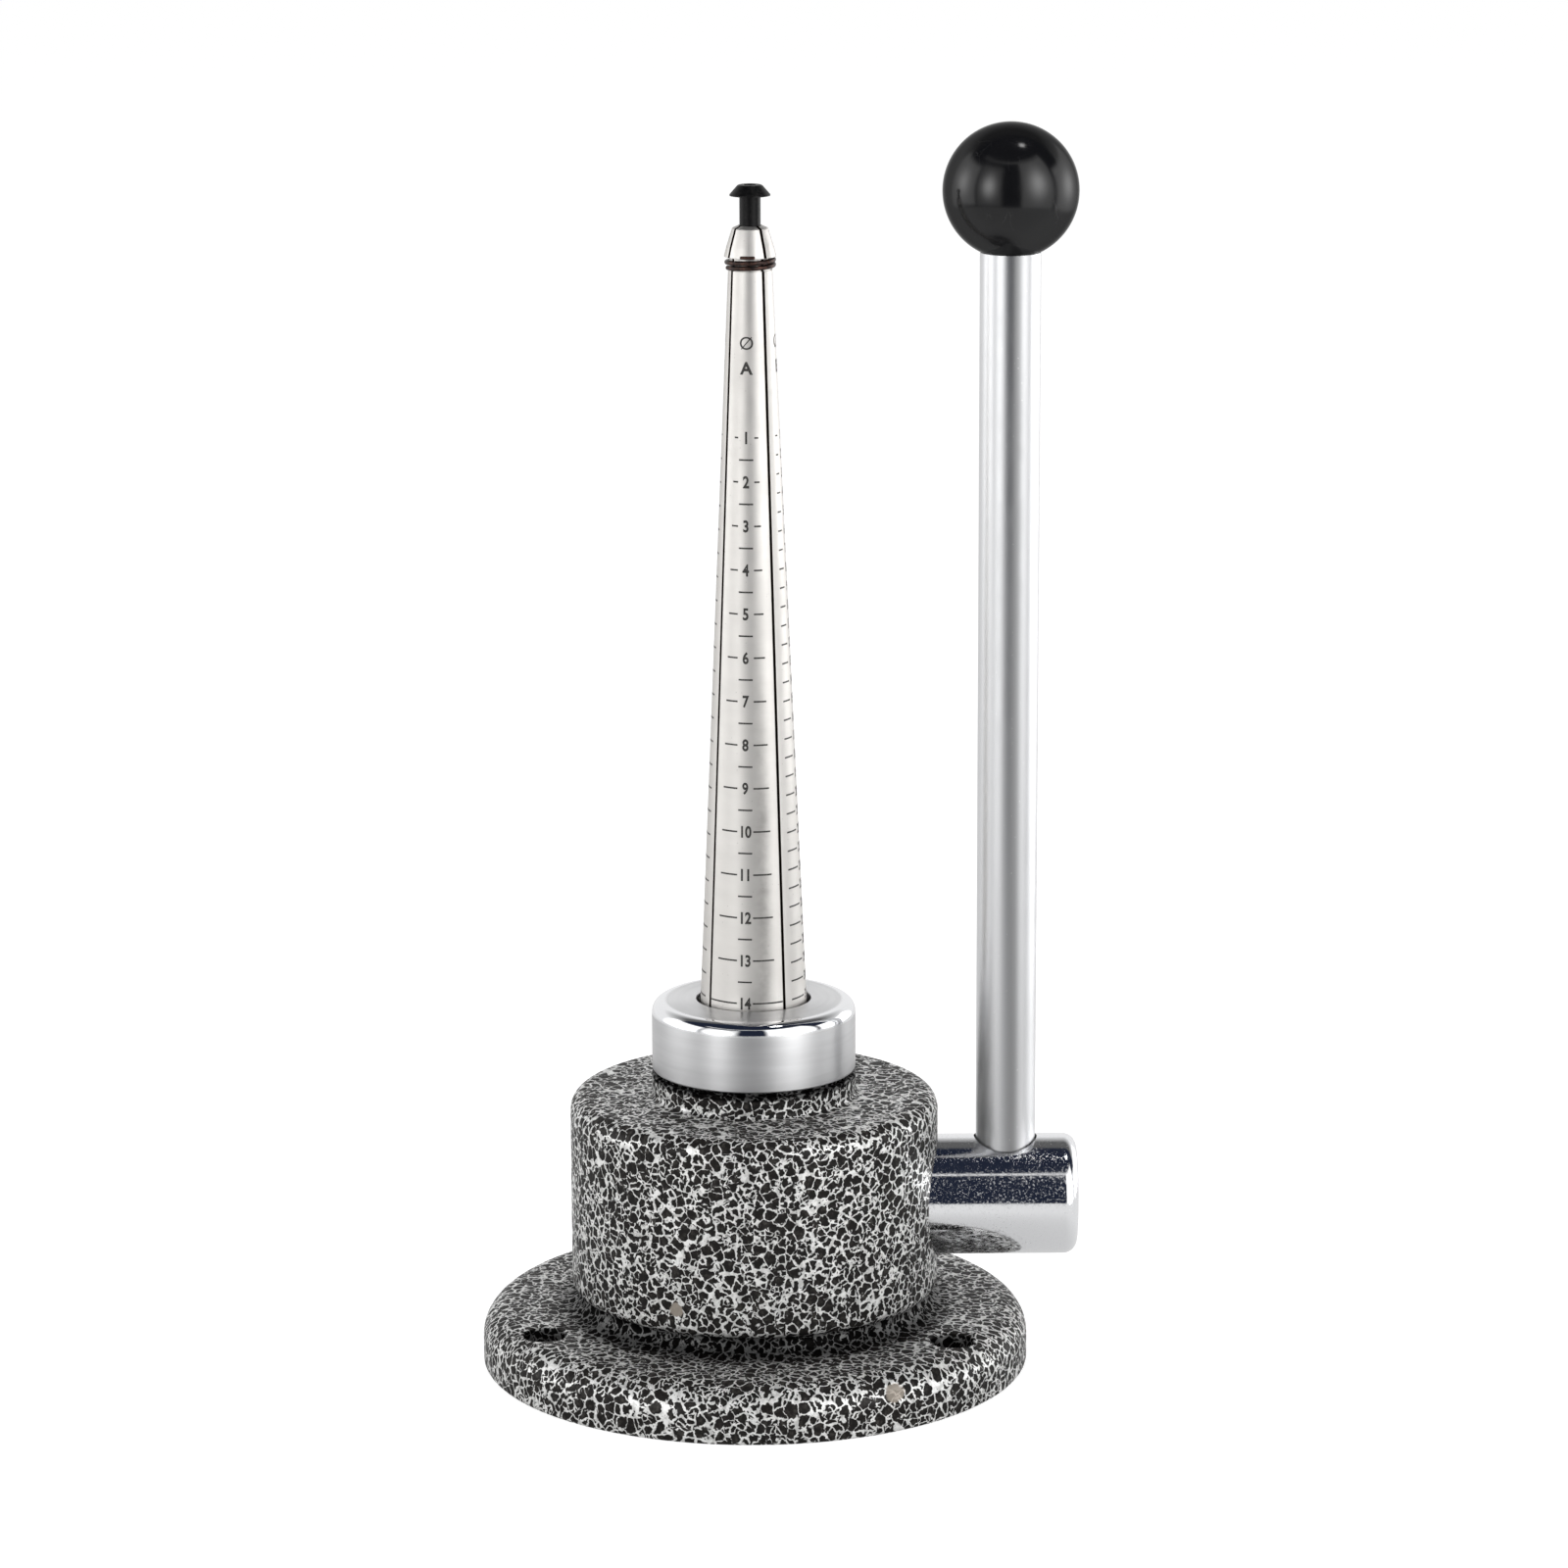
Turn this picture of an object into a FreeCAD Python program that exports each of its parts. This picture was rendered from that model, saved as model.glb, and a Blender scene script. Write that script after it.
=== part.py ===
import FreeCAD, Part
import math
import os
from FreeCAD import Vector

# Bench ring stretcher: a split, graduated mandrel on a round stand, opened by a side lever.
# Millimetres. Z is up, the lever is on the +X side and the numbered face looks towards -Y.
# The origin is on the mandrel's axis, in the plane that the flange stands on.
# Azimuths are in degrees from the front (-Y) towards the lever (+X).

# Clearances
running = 0.03  # radial, a turning or sliding shaft in its bush
thread_play = 0.05  # radial, between plain cylinders that stand for threads
press_play = 0.02  # radial, a pressed bush or pin in its hole
end_play = 0.1  # axial, between a moving face and its stop

# Stand
flange_radius = 60.0
flange_thickness = 12.4
flange_edge = 6.5
flange_foot_edge = 0.8
barrel_radius = 40.25
barrel_wall = 7.25
barrel_edge = 3.5
barrel_foot_gap = 4.2  # from the flange to the barrel's rounded lower edge
barrel_foot_edge = 2.2
barrel_undercut = 2.35
cove_radius = 3.8
roof_thickness = 4.5
cavity_corner = 3.0
boss_radius = 22.3
boss_height = 4.9
boss_cove = 1.0
collar_seat_height = 0.9  # the dark groove under the collar
collar_seat_inset = 1.2
spigot_height = 5.7  # the thread that the collar screws onto
bolt_count = 3
bolt_rim_distance = 9.0  # from the flange's rim to a bolt hole's axis
bolt_hole_radius = 4.5
first_bolt_azimuth = -63.65

# Bottom plate
plate_lap = 7.0  # past the cavity's wall, where the screws go through
plate_thickness = 3.6
plate_recess = 0.4
plate_play = 0.15
plate_screw_count = 3
plate_screw_radius = 1.5
plate_screw_head = 3.0
plate_screw_length = 9.5
plate_screw_slot = 0.8
plate_screw_slot_depth = 1.2
plate_edge = 0.5
spring_stub_radius = 7.3
spring_stub_height = 3.0
stub_edge = 0.8

# Lever shaft, lying along X
shaft_height = 36.8
shaft_radius = 13.2
shaft_reach = 30.55  # from the barrel to the shaft's rounded end
shaft_edge = 3.0
bush_wall = 2.8
right_boss_depth = 8.0
right_boss_radius = 20.0
left_boss_depth = 9.0
left_boss_radius = 14.0
bush_cover = 4.25  # casting left outside the right bush
mouth_play = 0.3
spigot_radius = 6.0
left_bush_wall = 3.0
left_bush_cover = 3.05
left_end_gap = 1.2  # past the spigot's end, in its blind bore
waist_radius = 9.0
shoulder_radius = 8.0
journal_length_inside = 8.0  # main journal, past the right boss
eccentric_radius = 6.5
lever_swing = 90.0
draw_stroke = 5.5
circlip_thickness = 1.2
circlip_depth = 0.8
circlip_height = 2.2
circlip_gap = 7.0
circlip_eye = 1.9
circlip_eye_hole = 0.9
washer_thickness = 1.3
washer_width = 4.1
washer_play = 0.25
eccentric_overhang = 2.0  # each side of the yoke
chamfer = 0.8

# Lever
rod_offset = 14.9  # from the barrel to the rod's axis
rod_radius = 6.5
rod_length = 198.77  # from its shoulder in the shaft to the ball
rod_shoulder_depth = 3.8  # under the shaft's top
rod_thread_radius = 6.0
rod_thread_length = 17.2
rod_recess_play = 0.4
ball_radius = 14.5
ball_thread_radius = 5.0
ball_thread_length = 13.5

# Yoke
yoke_thickness = 14.0
yoke_top_bar = 7.6
yoke_bottom_bar = 6.0
yoke_side = 4.8
yoke_edge = 1.5
window_corner = 1.0
window_play = 0.15
yoke_pin_radius = 1.5
yoke_pin_inset = 0.5

# Guide bush in the roof
guide_radius = 9.0
guide_flange_radius = 12.0
guide_flange = 2.0
guide_drop = 0.5  # its upper end, under the face that the jaws slide on
stop_gap = 0.2

# Collar
collar_radius = 22.25
collar_height = 15.7
collar_slope = 0.7  # the top falls this much from the hole to the rim
collar_plate = 5.5
collar_edge = 2.5
collar_gap = 0.33  # left round the mandrel when it is fully open
collar_wall = 3.75

# Mandrel
jaw_count = 4
jaw_travel = 0.6
first_jaw_azimuth = -9.8
slot_width = 0.5
mandrel_length = 168.85  # above the collar
mandrel_base_radius = 11.567
mandrel_taper = 0.04299  # radius lost for each mm of height
foot_gap = 1.4  # between the feet and the collar when the mandrel is open
foot_ring_wire = 0.6
foot_ring_gap = 6.0
ring_wire = 0.5
ring_pitch = 1.08
ring_turns = 1.5
ring_start = -75.0
ring_groove_depth = 0.3
ring_groove_height = 2.8
ring_groove_drop = 6.65  # from the mandrel's tip to the groove's top
ring_play = 0.075  # under each wire ring, and below the upper one
foot_groove_depth = 1.0
foot_groove_play = 0.15
tip_flare = 1.0  # proud of the mandrel's taper, over the ring
tip_shoulder_height = 2.1
tip_shoulder_inset = 0.52
tip_inset = 1.77
tip_dome = 0.6  # height of the sloping top
tip_edge = 0.4
tip_bore_radius = 2.45
tip_bore_length = 5.65
tip_bore_clearance = 0.6  # from the draw bar's end to the narrow bore

# Draw bar
bar_radius = 5.8
wedge_count = 4
wedge_length = 14.0
first_wedge = 4.0  # above the collar
last_wedge_drop = 25.85  # from the tip to the top wedge's lower end
wedge_share = 0.66  # of the mandrel's radius, at the wedge's upper end
wedge_relief = 2.3
wedge_relief_play = 1.0  # the bore stays wide this much further up than the cone
wedge_lead = 0.5
bar_thread_radius = 4.95
bar_end_gap = 0.3  # from the bar's lower end to the window's top

# Screw in the draw bar's end
screw_shank_radius = 2.25
screw_thread_radius = 1.95
screw_thread_length = 8.4
screw_head_radius = 4.33
screw_head_height = 2.3
screw_head_flat = 2.55
screw_head_gap = 0.75  # left over the mandrel's tip when the bar is down
socket_width = 2.5
socket_depth = 1.3
screw_head_rim = 0.25
screw_head_edges = (0.1, 0.8)  # at the rim and round the flat

# Return spring
spring_wire = 1.1
spring_radius = 9.0
spring_turns = 5.0
spring_end_pitch = 2.8

# Heights, and radii that follow from what a piece fits
plate_top = plate_recess + plate_thickness
cavity_radius = barrel_radius - barrel_wall
bolt_circle_radius = flange_radius - bolt_rim_distance
plate_radius = cavity_radius + plate_lap
plate_screw_circle = cavity_radius + plate_lap / 2
eccentric_offset = draw_stroke / 2 / math.sin(math.radians(lever_swing / 2))
eccentric_angle = math.radians(180 - lever_swing / 2)
eccentric_y = eccentric_offset * math.cos(eccentric_angle)
window_centre = shaft_height + draw_stroke / 2
window_half = eccentric_radius + window_play
yoke_top = window_centre + window_half + yoke_top_bar
yoke_bottom = window_centre - window_half - yoke_bottom_bar
cavity_top = yoke_top + stop_gap + guide_flange
barrel_top = cavity_top + roof_thickness
boss_top = barrel_top + boss_height
collar_bottom = boss_top + collar_seat_height
spigot_top = collar_bottom + spigot_height
collar_top = collar_bottom + collar_height
plate_under = collar_top - collar_plate
collar_bore = collar_radius - collar_wall
collar_hole = mandrel_base_radius + jaw_travel + collar_gap
casting_spigot = collar_bore - thread_play
tip = collar_top + mandrel_length
groove_top = tip - ring_groove_drop
groove_bottom = groove_top - ring_groove_height
foot_radius = collar_bore - jaw_travel - foot_gap
wedge_slope = jaw_travel * math.cos(math.pi / jaw_count) / draw_stroke
bar_top = tip - tip_bore_length - tip_bore_clearance
head_bottom = tip + draw_stroke + screw_head_gap
right_face = cavity_radius - right_boss_depth
left_face = cavity_radius - left_boss_depth
right_bush_radius = shaft_radius + bush_wall
right_bush_end = barrel_radius - bush_cover
left_bush_radius = spigot_radius + left_bush_wall
left_bush_end = barrel_radius - left_bush_cover
shaft_end = barrel_radius + shaft_reach
rod_x = barrel_radius + rod_offset
rod_shoulder = shaft_height + shaft_radius - rod_shoulder_depth
rod_top = rod_shoulder + rod_length


def mandrel_radius(height):
    return mandrel_base_radius - mandrel_taper * (height - collar_top)


def outline(corners):
    """Edges through corners (radius, height) or (radius, height, rounding) in the XZ plane."""
    count = len(corners)
    points = [Vector(c[0], 0, c[1]) for c in corners]
    arrivals = []
    departures = []
    edges = []
    for i, corner in enumerate(corners):
        rounding = corner[2] if len(corner) > 2 else 0
        point = points[i]
        if not rounding:
            arrivals.append(point)
            departures.append(point)
            continue
        back = (points[i - 1] - point).normalize()
        ahead = (points[(i + 1) % count] - point).normalize()
        half = back.getAngle(ahead) / 2
        middle = (back + ahead).normalize()
        arrivals.append(point + back * (rounding / math.tan(half)))
        departures.append(point + ahead * (rounding / math.tan(half)))
        nearest = point + middle * (rounding / math.sin(half) - rounding)
        edges.append(Part.Arc(arrivals[i], nearest, departures[i]).toShape())
    for i in range(count):
        start = departures[i]
        end = arrivals[(i + 1) % count]
        if (end - start).Length > 1e-6:
            edges.append(Part.LineSegment(start, end).toShape())
    return edges


def turned(corners):
    """The solid that the outline sweeps about the Z axis."""
    wire = Part.Wire(Part.__sortEdges__(outline(corners)))
    solid = Part.Face(wire).revolve(Vector(0, 0, 0), Vector(0, 0, 1), 360)
    return solid if solid.Volume > 0 else solid.reversed()


def upright(radius, bottom, top, x=0, y=0):
    return Part.makeCylinder(radius, top - bottom, Vector(x, y, bottom))


def level(radius, start, end, y=0, z=shaft_height):
    """A cylinder along X."""
    return Part.makeCylinder(radius, end - start, Vector(start, y, z), Vector(1, 0, 0))


def laid(shape):
    """A piece that was turned about Z, laid along the lever shaft."""
    shape = shape.copy()
    shape.rotate(Vector(0, 0, 0), Vector(0, 1, 0), 90)
    shape.translate(Vector(0, 0, shaft_height))
    return shape


def ring(inner, outer, bottom, top):
    return turned([(inner, bottom), (outer, bottom), (outer, top), (inner, top)])


def at(radius, azimuth, height=0):
    angle = math.radians(azimuth)
    return Vector(radius * math.sin(angle), -radius * math.cos(angle), height)


def evenly(count, first):
    return [first + 360 / count * i for i in range(count)]


def whole(shape):
    shape = shape.removeSplitter()
    return shape.Solids[0] if len(shape.Solids) == 1 else shape


def biarc(start, start_way, end, end_way):
    """Two arcs from start to end that leave and arrive along the given directions."""
    chord = end - start
    ways = start_way + end_way
    bend = 2 * (1 - start_way.dot(end_way))
    along = chord.dot(ways)
    reach = (math.sqrt(along ** 2 + bend * chord.dot(chord)) - along) / bend
    joint = (start + end + (start_way - end_way) * reach) / 2
    pieces = []
    for a, b, way in ((start, joint, start_way), (end, joint, end_way * -1)):
        half = (b - a) / 2
        side = (way - half * (way.dot(half) / half.dot(half))).normalize()
        rise = half.Length * math.tan(way.getAngle(half) / 2)
        pieces.append(Part.Arc(a, a + half + side * rise, b).toShape())
    return pieces


def wound(name, radius, wire, first, heights):
    """A coil through one height for each quarter turn, and its least gap to itself."""
    places = []
    ways = []
    for i, height in enumerate(heights):
        before = heights[max(i - 1, 0)]
        after = heights[min(i + 1, len(heights) - 1)]
        quarters = min(i + 1, len(heights) - 1) - max(i - 1, 0)
        climb = (after - before) / quarters / (radius * math.pi / 2)
        azimuth = first + 90 * i
        places.append(at(radius, azimuth, height))
        ways.append((at(1, azimuth + 90) + Vector(0, 0, climb)).normalize())
    edges = []
    for i in range(len(places) - 1):
        edges += biarc(places[i], ways[i], places[i + 1], ways[i + 1])
    path = Part.Wire(Part.__sortEdges__(edges))
    section = Part.Wire(Part.makeCircle(wire, places[0], ways[0]))
    coil = path.makePipeShell([section], True, False)
    steps = 12 * len(places)
    points = path.discretize(Number=steps)
    apart = round(steps / (len(places) - 1) * 2)
    least = min(
        (points[i] - points[j]).Length for i in range(steps) for j in range(i + apart, steps)
    )
    print(name, "least gap between turns", round(least - 2 * wire, 3))
    return Part.Solid(coil.Shells[0])


def base_casting():
    """Flange, barrel and boss in one casting, hollow for the eccentric and the yoke."""
    neck = barrel_radius - barrel_undercut
    barrel_foot = flange_thickness + barrel_foot_gap
    seat = boss_radius - collar_seat_inset
    body = turned([
        (0, 0),
        (flange_radius, 0, flange_foot_edge),
        (flange_radius, flange_thickness, flange_edge),
        (neck, flange_thickness, cove_radius),
        (neck, barrel_foot),
        (barrel_radius, barrel_foot, barrel_foot_edge),
        (barrel_radius, barrel_top, barrel_edge),
        (boss_radius, barrel_top, boss_cove),
        (boss_radius, boss_top),
        (seat, boss_top),
        (seat, collar_bottom),
        (casting_spigot, collar_bottom),
        (casting_spigot, spigot_top),
        (0, spigot_top),
    ])
    bosses = level(right_boss_radius, right_face, barrel_radius).fuse(
        level(left_boss_radius, -barrel_radius, -left_face)
    ).common(body)
    cavity = turned([
        (0, plate_top), (cavity_radius, plate_top),
        (cavity_radius, cavity_top, cavity_corner), (0, cavity_top),
    ])
    body = body.cut(cavity).fuse(bosses)
    cuts = [
        upright(plate_radius + plate_play, -1, plate_top),
        upright(guide_radius, cavity_top - 1, spigot_top + 1),
        level(right_bush_radius, right_face - 1, right_bush_end),
        level(shaft_radius + mouth_play, right_face, barrel_radius + 1),
        level(left_bush_radius, -left_bush_end, 1 - left_face),
    ]
    for azimuth in evenly(bolt_count, first_bolt_azimuth):
        place = at(bolt_circle_radius, azimuth)
        cuts.append(upright(bolt_hole_radius, -1, flange_thickness + 1, place.x, place.y))
    for place in plate_screw_places():
        depth = plate_recess + plate_screw_length + 1
        cuts.append(upright(plate_screw_radius + thread_play, plate_top - 1, depth, place.x, place.y))
    return whole(body.cut(cuts))


def plate_screw_places():
    first = first_bolt_azimuth + 180 / plate_screw_count
    return [at(plate_screw_circle, azimuth) for azimuth in evenly(plate_screw_count, first)]


def screw_cone(play, place):
    """The countersunk head, or its seat when play is added."""
    drop = plate_screw_head - plate_screw_radius
    cone = Part.makeCone(plate_screw_head + play, plate_screw_radius + play, drop)
    cone.translate(Vector(place.x, place.y, plate_recess))
    return cone


def bottom_plate():
    plate = turned([
        (0, plate_recess), (plate_radius, plate_recess, plate_edge), (plate_radius, plate_top),
        (spring_stub_radius, plate_top), (spring_stub_radius, plate_top + spring_stub_height, stub_edge),
        (0, plate_top + spring_stub_height),
    ])
    for place in plate_screw_places():
        hole = upright(plate_screw_radius + plate_play, plate_recess, plate_top, place.x, place.y)
        plate = plate.cut([hole, screw_cone(plate_play, place)])
    return whole(plate)


def bottom_plate_screws():
    screws = []
    for place in plate_screw_places():
        shank_end = plate_recess + plate_screw_length
        shank = upright(plate_screw_radius, plate_recess, shank_end, place.x, place.y)
        slot = Part.makeBox(
            4 * plate_screw_head, plate_screw_slot, plate_screw_slot_depth,
            Vector(place.x - 2 * plate_screw_head, place.y - plate_screw_slot / 2, plate_recess),
        )
        screws.append(whole(screw_cone(0, place).fuse(shank).cut(slot)))
    return Part.makeCompound(screws)


def guide_bush():
    bore = bar_radius + running
    bottom = cavity_top - guide_flange
    return turned([
        (bore, bottom), (guide_flange_radius, bottom, 0.4), (guide_flange_radius, cavity_top),
        (guide_radius - press_play, cavity_top), (guide_radius - press_play, spigot_top - guide_drop),
        (bore, spigot_top - guide_drop),
    ])


def shaft_bush_right():
    bush = ring(shaft_radius + running, right_bush_radius - press_play, right_face, right_bush_end)
    return laid(bush)


def shaft_bush_left():
    return laid(ring(spigot_radius + running, left_bush_radius - press_play, -left_bush_end, -left_face))


def collar():
    """Cap that screws onto the casting and traps the jaws' feet."""
    return turned([
        (collar_bore, collar_bottom), (collar_radius, collar_bottom, 0.4),
        (collar_radius, collar_top - collar_slope, collar_edge), (collar_hole, collar_top, 0.4),
        (collar_hole, plate_under), (collar_bore, plate_under),
    ])


def wedge_heights():
    """Lower ends of the wedge cones, spread evenly up the mandrel."""
    lowest = collar_top + first_wedge
    step = (tip - last_wedge_drop - lowest) / (wedge_count - 1)
    return [lowest + step * i for i in range(wedge_count)]


def wedge_corners(play, lower_end, upper_end):
    """The draw bar's cones from below; with play added, the jaws' bore over them."""
    corners = []
    for i, bottom in enumerate(wedge_heights()):
        top = bottom + wedge_length
        large = wedge_share * mandrel_radius(top)
        small = large - wedge_slope * wedge_length
        if i == 0:
            corners.append((small + play if play else bar_radius, lower_end))
        elif play:
            corners.append((corners[-1][0], corners[-1][1] + wedge_relief_play))
            corners.append((small + play, corners[-1][1] + wedge_relief))
        else:
            corners.append((small, corners[-1][1] + wedge_relief))
        corners += [(small + play, bottom), (large + play, top)]
    corners.append((corners[-1][0], upper_end))
    return corners


def mandrel():
    """The jaws before they are sawn apart."""
    foot_bottom = spigot_top + end_play / 2
    foot_top = plate_under - end_play
    groove_middle = (foot_bottom + foot_top) / 2
    groove_half = foot_ring_wire + foot_groove_play
    groove_floor = foot_radius - foot_groove_depth
    ring_floor = mandrel_radius(groove_bottom) - ring_groove_depth
    flare = mandrel_radius(groove_top) + tip_flare
    bore = wedge_corners(thread_play, foot_bottom, tip - tip_bore_length)
    corners = [
        (foot_radius, foot_bottom),
        (foot_radius, groove_middle - groove_half),
        (groove_floor, groove_middle - groove_half),
        (groove_floor, groove_middle + groove_half),
        (foot_radius, groove_middle + groove_half),
        (foot_radius, foot_top),
        (mandrel_base_radius, foot_top),
        (mandrel_base_radius, collar_top),
        (mandrel_radius(groove_bottom), groove_bottom),
        (ring_floor, groove_bottom),
        (ring_floor, groove_top),
        (flare, groove_top),
        (flare - tip_shoulder_inset, groove_top + tip_shoulder_height),
        (flare - tip_inset, tip - tip_dome, tip_edge),
        (tip_bore_radius, tip),
        (tip_bore_radius, tip - tip_bore_length),
    ]
    return turned(corners + bore[::-1])


def jaw(azimuth):
    """One quarter of the mandrel, with half a saw cut off each side."""
    half_angle = 180 / jaw_count
    apex = at(slot_width / 2 / math.sin(math.radians(half_angle)), azimuth)
    reach = 4 * foot_radius
    corners = [apex, apex + at(reach, azimuth - half_angle), apex + at(reach, azimuth + half_angle), apex]
    sector = Part.Face(Part.makePolygon(corners)).extrude(Vector(0, 0, tip + 1))
    return whole(mandrel().common(sector))


def foot_ring():
    """Spring wire round the jaws' feet, sprung open at one gap."""
    foot_middle = (spigot_top + end_play / 2 + plate_under - end_play) / 2
    centre = foot_radius - foot_groove_depth + foot_ring_wire + ring_play
    section = Part.Wire(Part.makeCircle(foot_ring_wire, Vector(centre, 0, foot_middle), Vector(0, 1, 0)))
    hoop = Part.Face(section).revolve(Vector(0, 0, 0), Vector(0, 0, 1), 360 - foot_ring_gap)
    return hoop if hoop.Volume > 0 else hoop.reversed()


def jaw_ring():
    """Spring wire wound in the groove near the mandrel's tip, which holds the jaws together."""
    floor = mandrel_radius(groove_bottom) - ring_groove_depth
    radius = floor + ring_wire + ring_play
    quarters = round(ring_turns * 4)
    lowest = groove_bottom + ring_wire + ring_play
    heights = [lowest + ring_pitch * i / 4 for i in range(quarters + 1)]
    return wound("jaw_ring", radius, ring_wire, ring_start, heights)


def draw_bar():
    """Bar with wedge cones that spread the jaws as it is drawn down."""
    thread_end = window_centre + window_half + bar_end_gap
    cones = wedge_corners(0, collar_top + first_wedge - wedge_lead, bar_top)
    bar = turned([
        (0, thread_end), (bar_thread_radius, thread_end), (bar_thread_radius, yoke_top),
        (bar_radius, yoke_top),
    ] + cones + [(0, bar_top)])
    tapped = upright(screw_thread_radius + thread_play, bar_top - screw_thread_length - 1, bar_top + 1)
    return whole(bar.cut([tapped, yoke_pin_hole()]))


def bar_screw():
    """Button-head screw in the draw bar's end, over the mandrel's tip."""
    head_top = head_bottom + screw_head_height
    rim_edge, flat_edge = screw_head_edges
    screw = turned([
        (0, bar_top - screw_thread_length), (screw_thread_radius, bar_top - screw_thread_length),
        (screw_thread_radius, bar_top), (screw_shank_radius, bar_top),
        (screw_shank_radius, head_bottom), (screw_head_radius, head_bottom),
        (screw_head_radius, head_bottom + screw_head_rim, rim_edge), (screw_head_flat, head_top, flat_edge),
        (0, head_top),
    ])
    across = socket_width / math.sqrt(3)
    corners = [at(across, azimuth, head_top - socket_depth) for azimuth in evenly(6, 0)]
    socket = Part.Face(Part.makePolygon(corners + corners[:1])).extrude(Vector(0, 0, socket_depth + 1))
    return whole(screw.cut(socket))


def yoke_pin_hole():
    middle = yoke_top - yoke_top_bar / 2
    return level(yoke_pin_radius + press_play, -yoke_thickness, yoke_thickness, 0, middle)


def yoke_pin():
    half = yoke_thickness / 2 - yoke_pin_inset
    return level(yoke_pin_radius, -half, half, 0, yoke_top - yoke_top_bar / 2)


def yoke():
    """Block with a window in which the eccentric turns."""
    window_side = eccentric_offset + eccentric_radius + window_play + end_play
    side = window_side + yoke_side
    block = Part.makeBox(
        yoke_thickness, 2 * side, yoke_top - yoke_bottom, Vector(-yoke_thickness / 2, -side, yoke_bottom)
    )
    upright_edges = [e for e in block.Edges if abs(e.tangentAt(e.FirstParameter).z) > 0.9]
    block = block.makeFillet(yoke_edge, upright_edges)
    window = Part.makeBox(
        yoke_thickness + 2, 2 * window_side, 2 * window_half,
        Vector(-yoke_thickness / 2 - 1, -window_side, window_centre - window_half),
    )
    level_edges = [e for e in window.Edges if abs(e.tangentAt(e.FirstParameter).x) > 0.9]
    window = window.makeFillet(window_corner, level_edges)
    stub = upright(spring_stub_radius, yoke_bottom - spring_stub_height, yoke_bottom)
    bar_hole = upright(bar_thread_radius + thread_play, window_centre, yoke_top + 1)
    return whole(block.fuse(stub).cut([window, bar_hole, yoke_pin_hole()]))


def lever_shaft():
    """Chromed shaft with an eccentric journal inside the stand and a socket for the lever rod."""
    eccentric_half = yoke_thickness / 2 + eccentric_overhang
    spigot_end = left_bush_end - left_end_gap
    shoulder = left_face - 2 * end_play
    journal_start = right_face - journal_length_inside
    clip_end = right_face - 1.5 * end_play - washer_thickness
    clip_start = clip_end - circlip_thickness - end_play
    groove = shaft_radius - circlip_depth
    left = turned([
        (0, -spigot_end), (spigot_radius, -spigot_end, chamfer), (spigot_radius, -shoulder),
        (shoulder_radius, -shoulder), (shoulder_radius, -eccentric_half), (0, -eccentric_half),
    ])
    right = turned([
        (0, eccentric_half), (waist_radius, eccentric_half), (waist_radius, journal_start),
        (shaft_radius, journal_start, chamfer), (shaft_radius, clip_start), (groove, clip_start),
        (groove, clip_end), (shaft_radius, clip_end), (shaft_radius, shaft_end, shaft_edge),
        (0, shaft_end),
    ])
    eccentric = level(eccentric_radius, -eccentric_half, eccentric_half, eccentric_y, window_centre)
    shaft = laid(left).fuse([laid(right), eccentric])
    top = shaft_height + shaft_radius + 1
    thread_end = rod_shoulder - rod_thread_length - 0.5
    return whole(shaft.cut([
        upright(rod_thread_radius + thread_play, thread_end, top, rod_x),
        upright(rod_radius + rod_recess_play, rod_shoulder, top, rod_x),
    ]))


def thrust_washer():
    inner = shaft_radius + washer_play
    start = right_face - end_play - washer_thickness
    return laid(ring(inner, inner + washer_width, start, start + washer_thickness))


def shaft_circlip():
    """Spring clip in the shaft's groove, with an eye at each end."""
    end = right_face - 2 * end_play - washer_thickness
    start = end - circlip_thickness
    inner = shaft_radius - circlip_depth + press_play
    outer = inner + circlip_height
    clip = ring(inner, outer, start, end)
    clip = clip.cut(Part.makeBox(
        2 * outer, circlip_gap, circlip_thickness + 2, Vector(0, -circlip_gap / 2, start - 1)
    ))
    eye_offset = (circlip_gap + circlip_eye) / 2 + circlip_eye_hole / 2
    for side in (-1, 1):
        eye = upright(circlip_eye, start, end, outer, side * eye_offset)
        hole = upright(circlip_eye_hole, start - 1, end + 1, outer, side * eye_offset)
        journal = upright(inner, start - 1, end + 1)
        clip = clip.fuse(eye.cut(journal)).cut(hole)
    return laid(whole(clip))


def lever_rod():
    thread_end = rod_shoulder - rod_thread_length
    rod = turned([
        (0, thread_end), (rod_thread_radius, thread_end, chamfer), (rod_thread_radius, rod_shoulder),
        (rod_radius, rod_shoulder), (rod_radius, rod_top), (ball_thread_radius, rod_top),
        (ball_thread_radius, rod_top + ball_thread_length, chamfer), (0, rod_top + ball_thread_length),
    ])
    rod.translate(Vector(rod_x, 0, 0))
    return rod


def lever_ball():
    """Knob with a flat as wide as the rod, on the rod's shoulder."""
    centre = rod_top + math.sqrt(ball_radius ** 2 - rod_radius ** 2)
    ball = Part.makeSphere(ball_radius, Vector(rod_x, 0, centre))
    bore = ball_thread_radius + thread_play
    below = upright(2 * ball_radius, rod_top - 2 * ball_radius, rod_top, rod_x)
    return whole(ball.cut([below, upright(bore, rod_top - 1, rod_top + ball_thread_length + 1, rod_x)]))


def return_spring():
    """Coil under the yoke, with its end turns drawn in."""
    bottom = plate_top + spring_wire + end_play
    top = yoke_bottom - spring_wire - end_play
    quarters = round(spring_turns * 4)
    middle_quarters = quarters - 8
    middle_step = (top - bottom - 2 * spring_end_pitch) / middle_quarters
    steps = [spring_end_pitch / 4] * 4 + [middle_step] * middle_quarters + [spring_end_pitch / 4] * 4
    heights = [bottom]
    for step in steps:
        heights.append(heights[-1] + step)
    return wound("return_spring", spring_radius, spring_wire, 0, heights)


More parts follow.
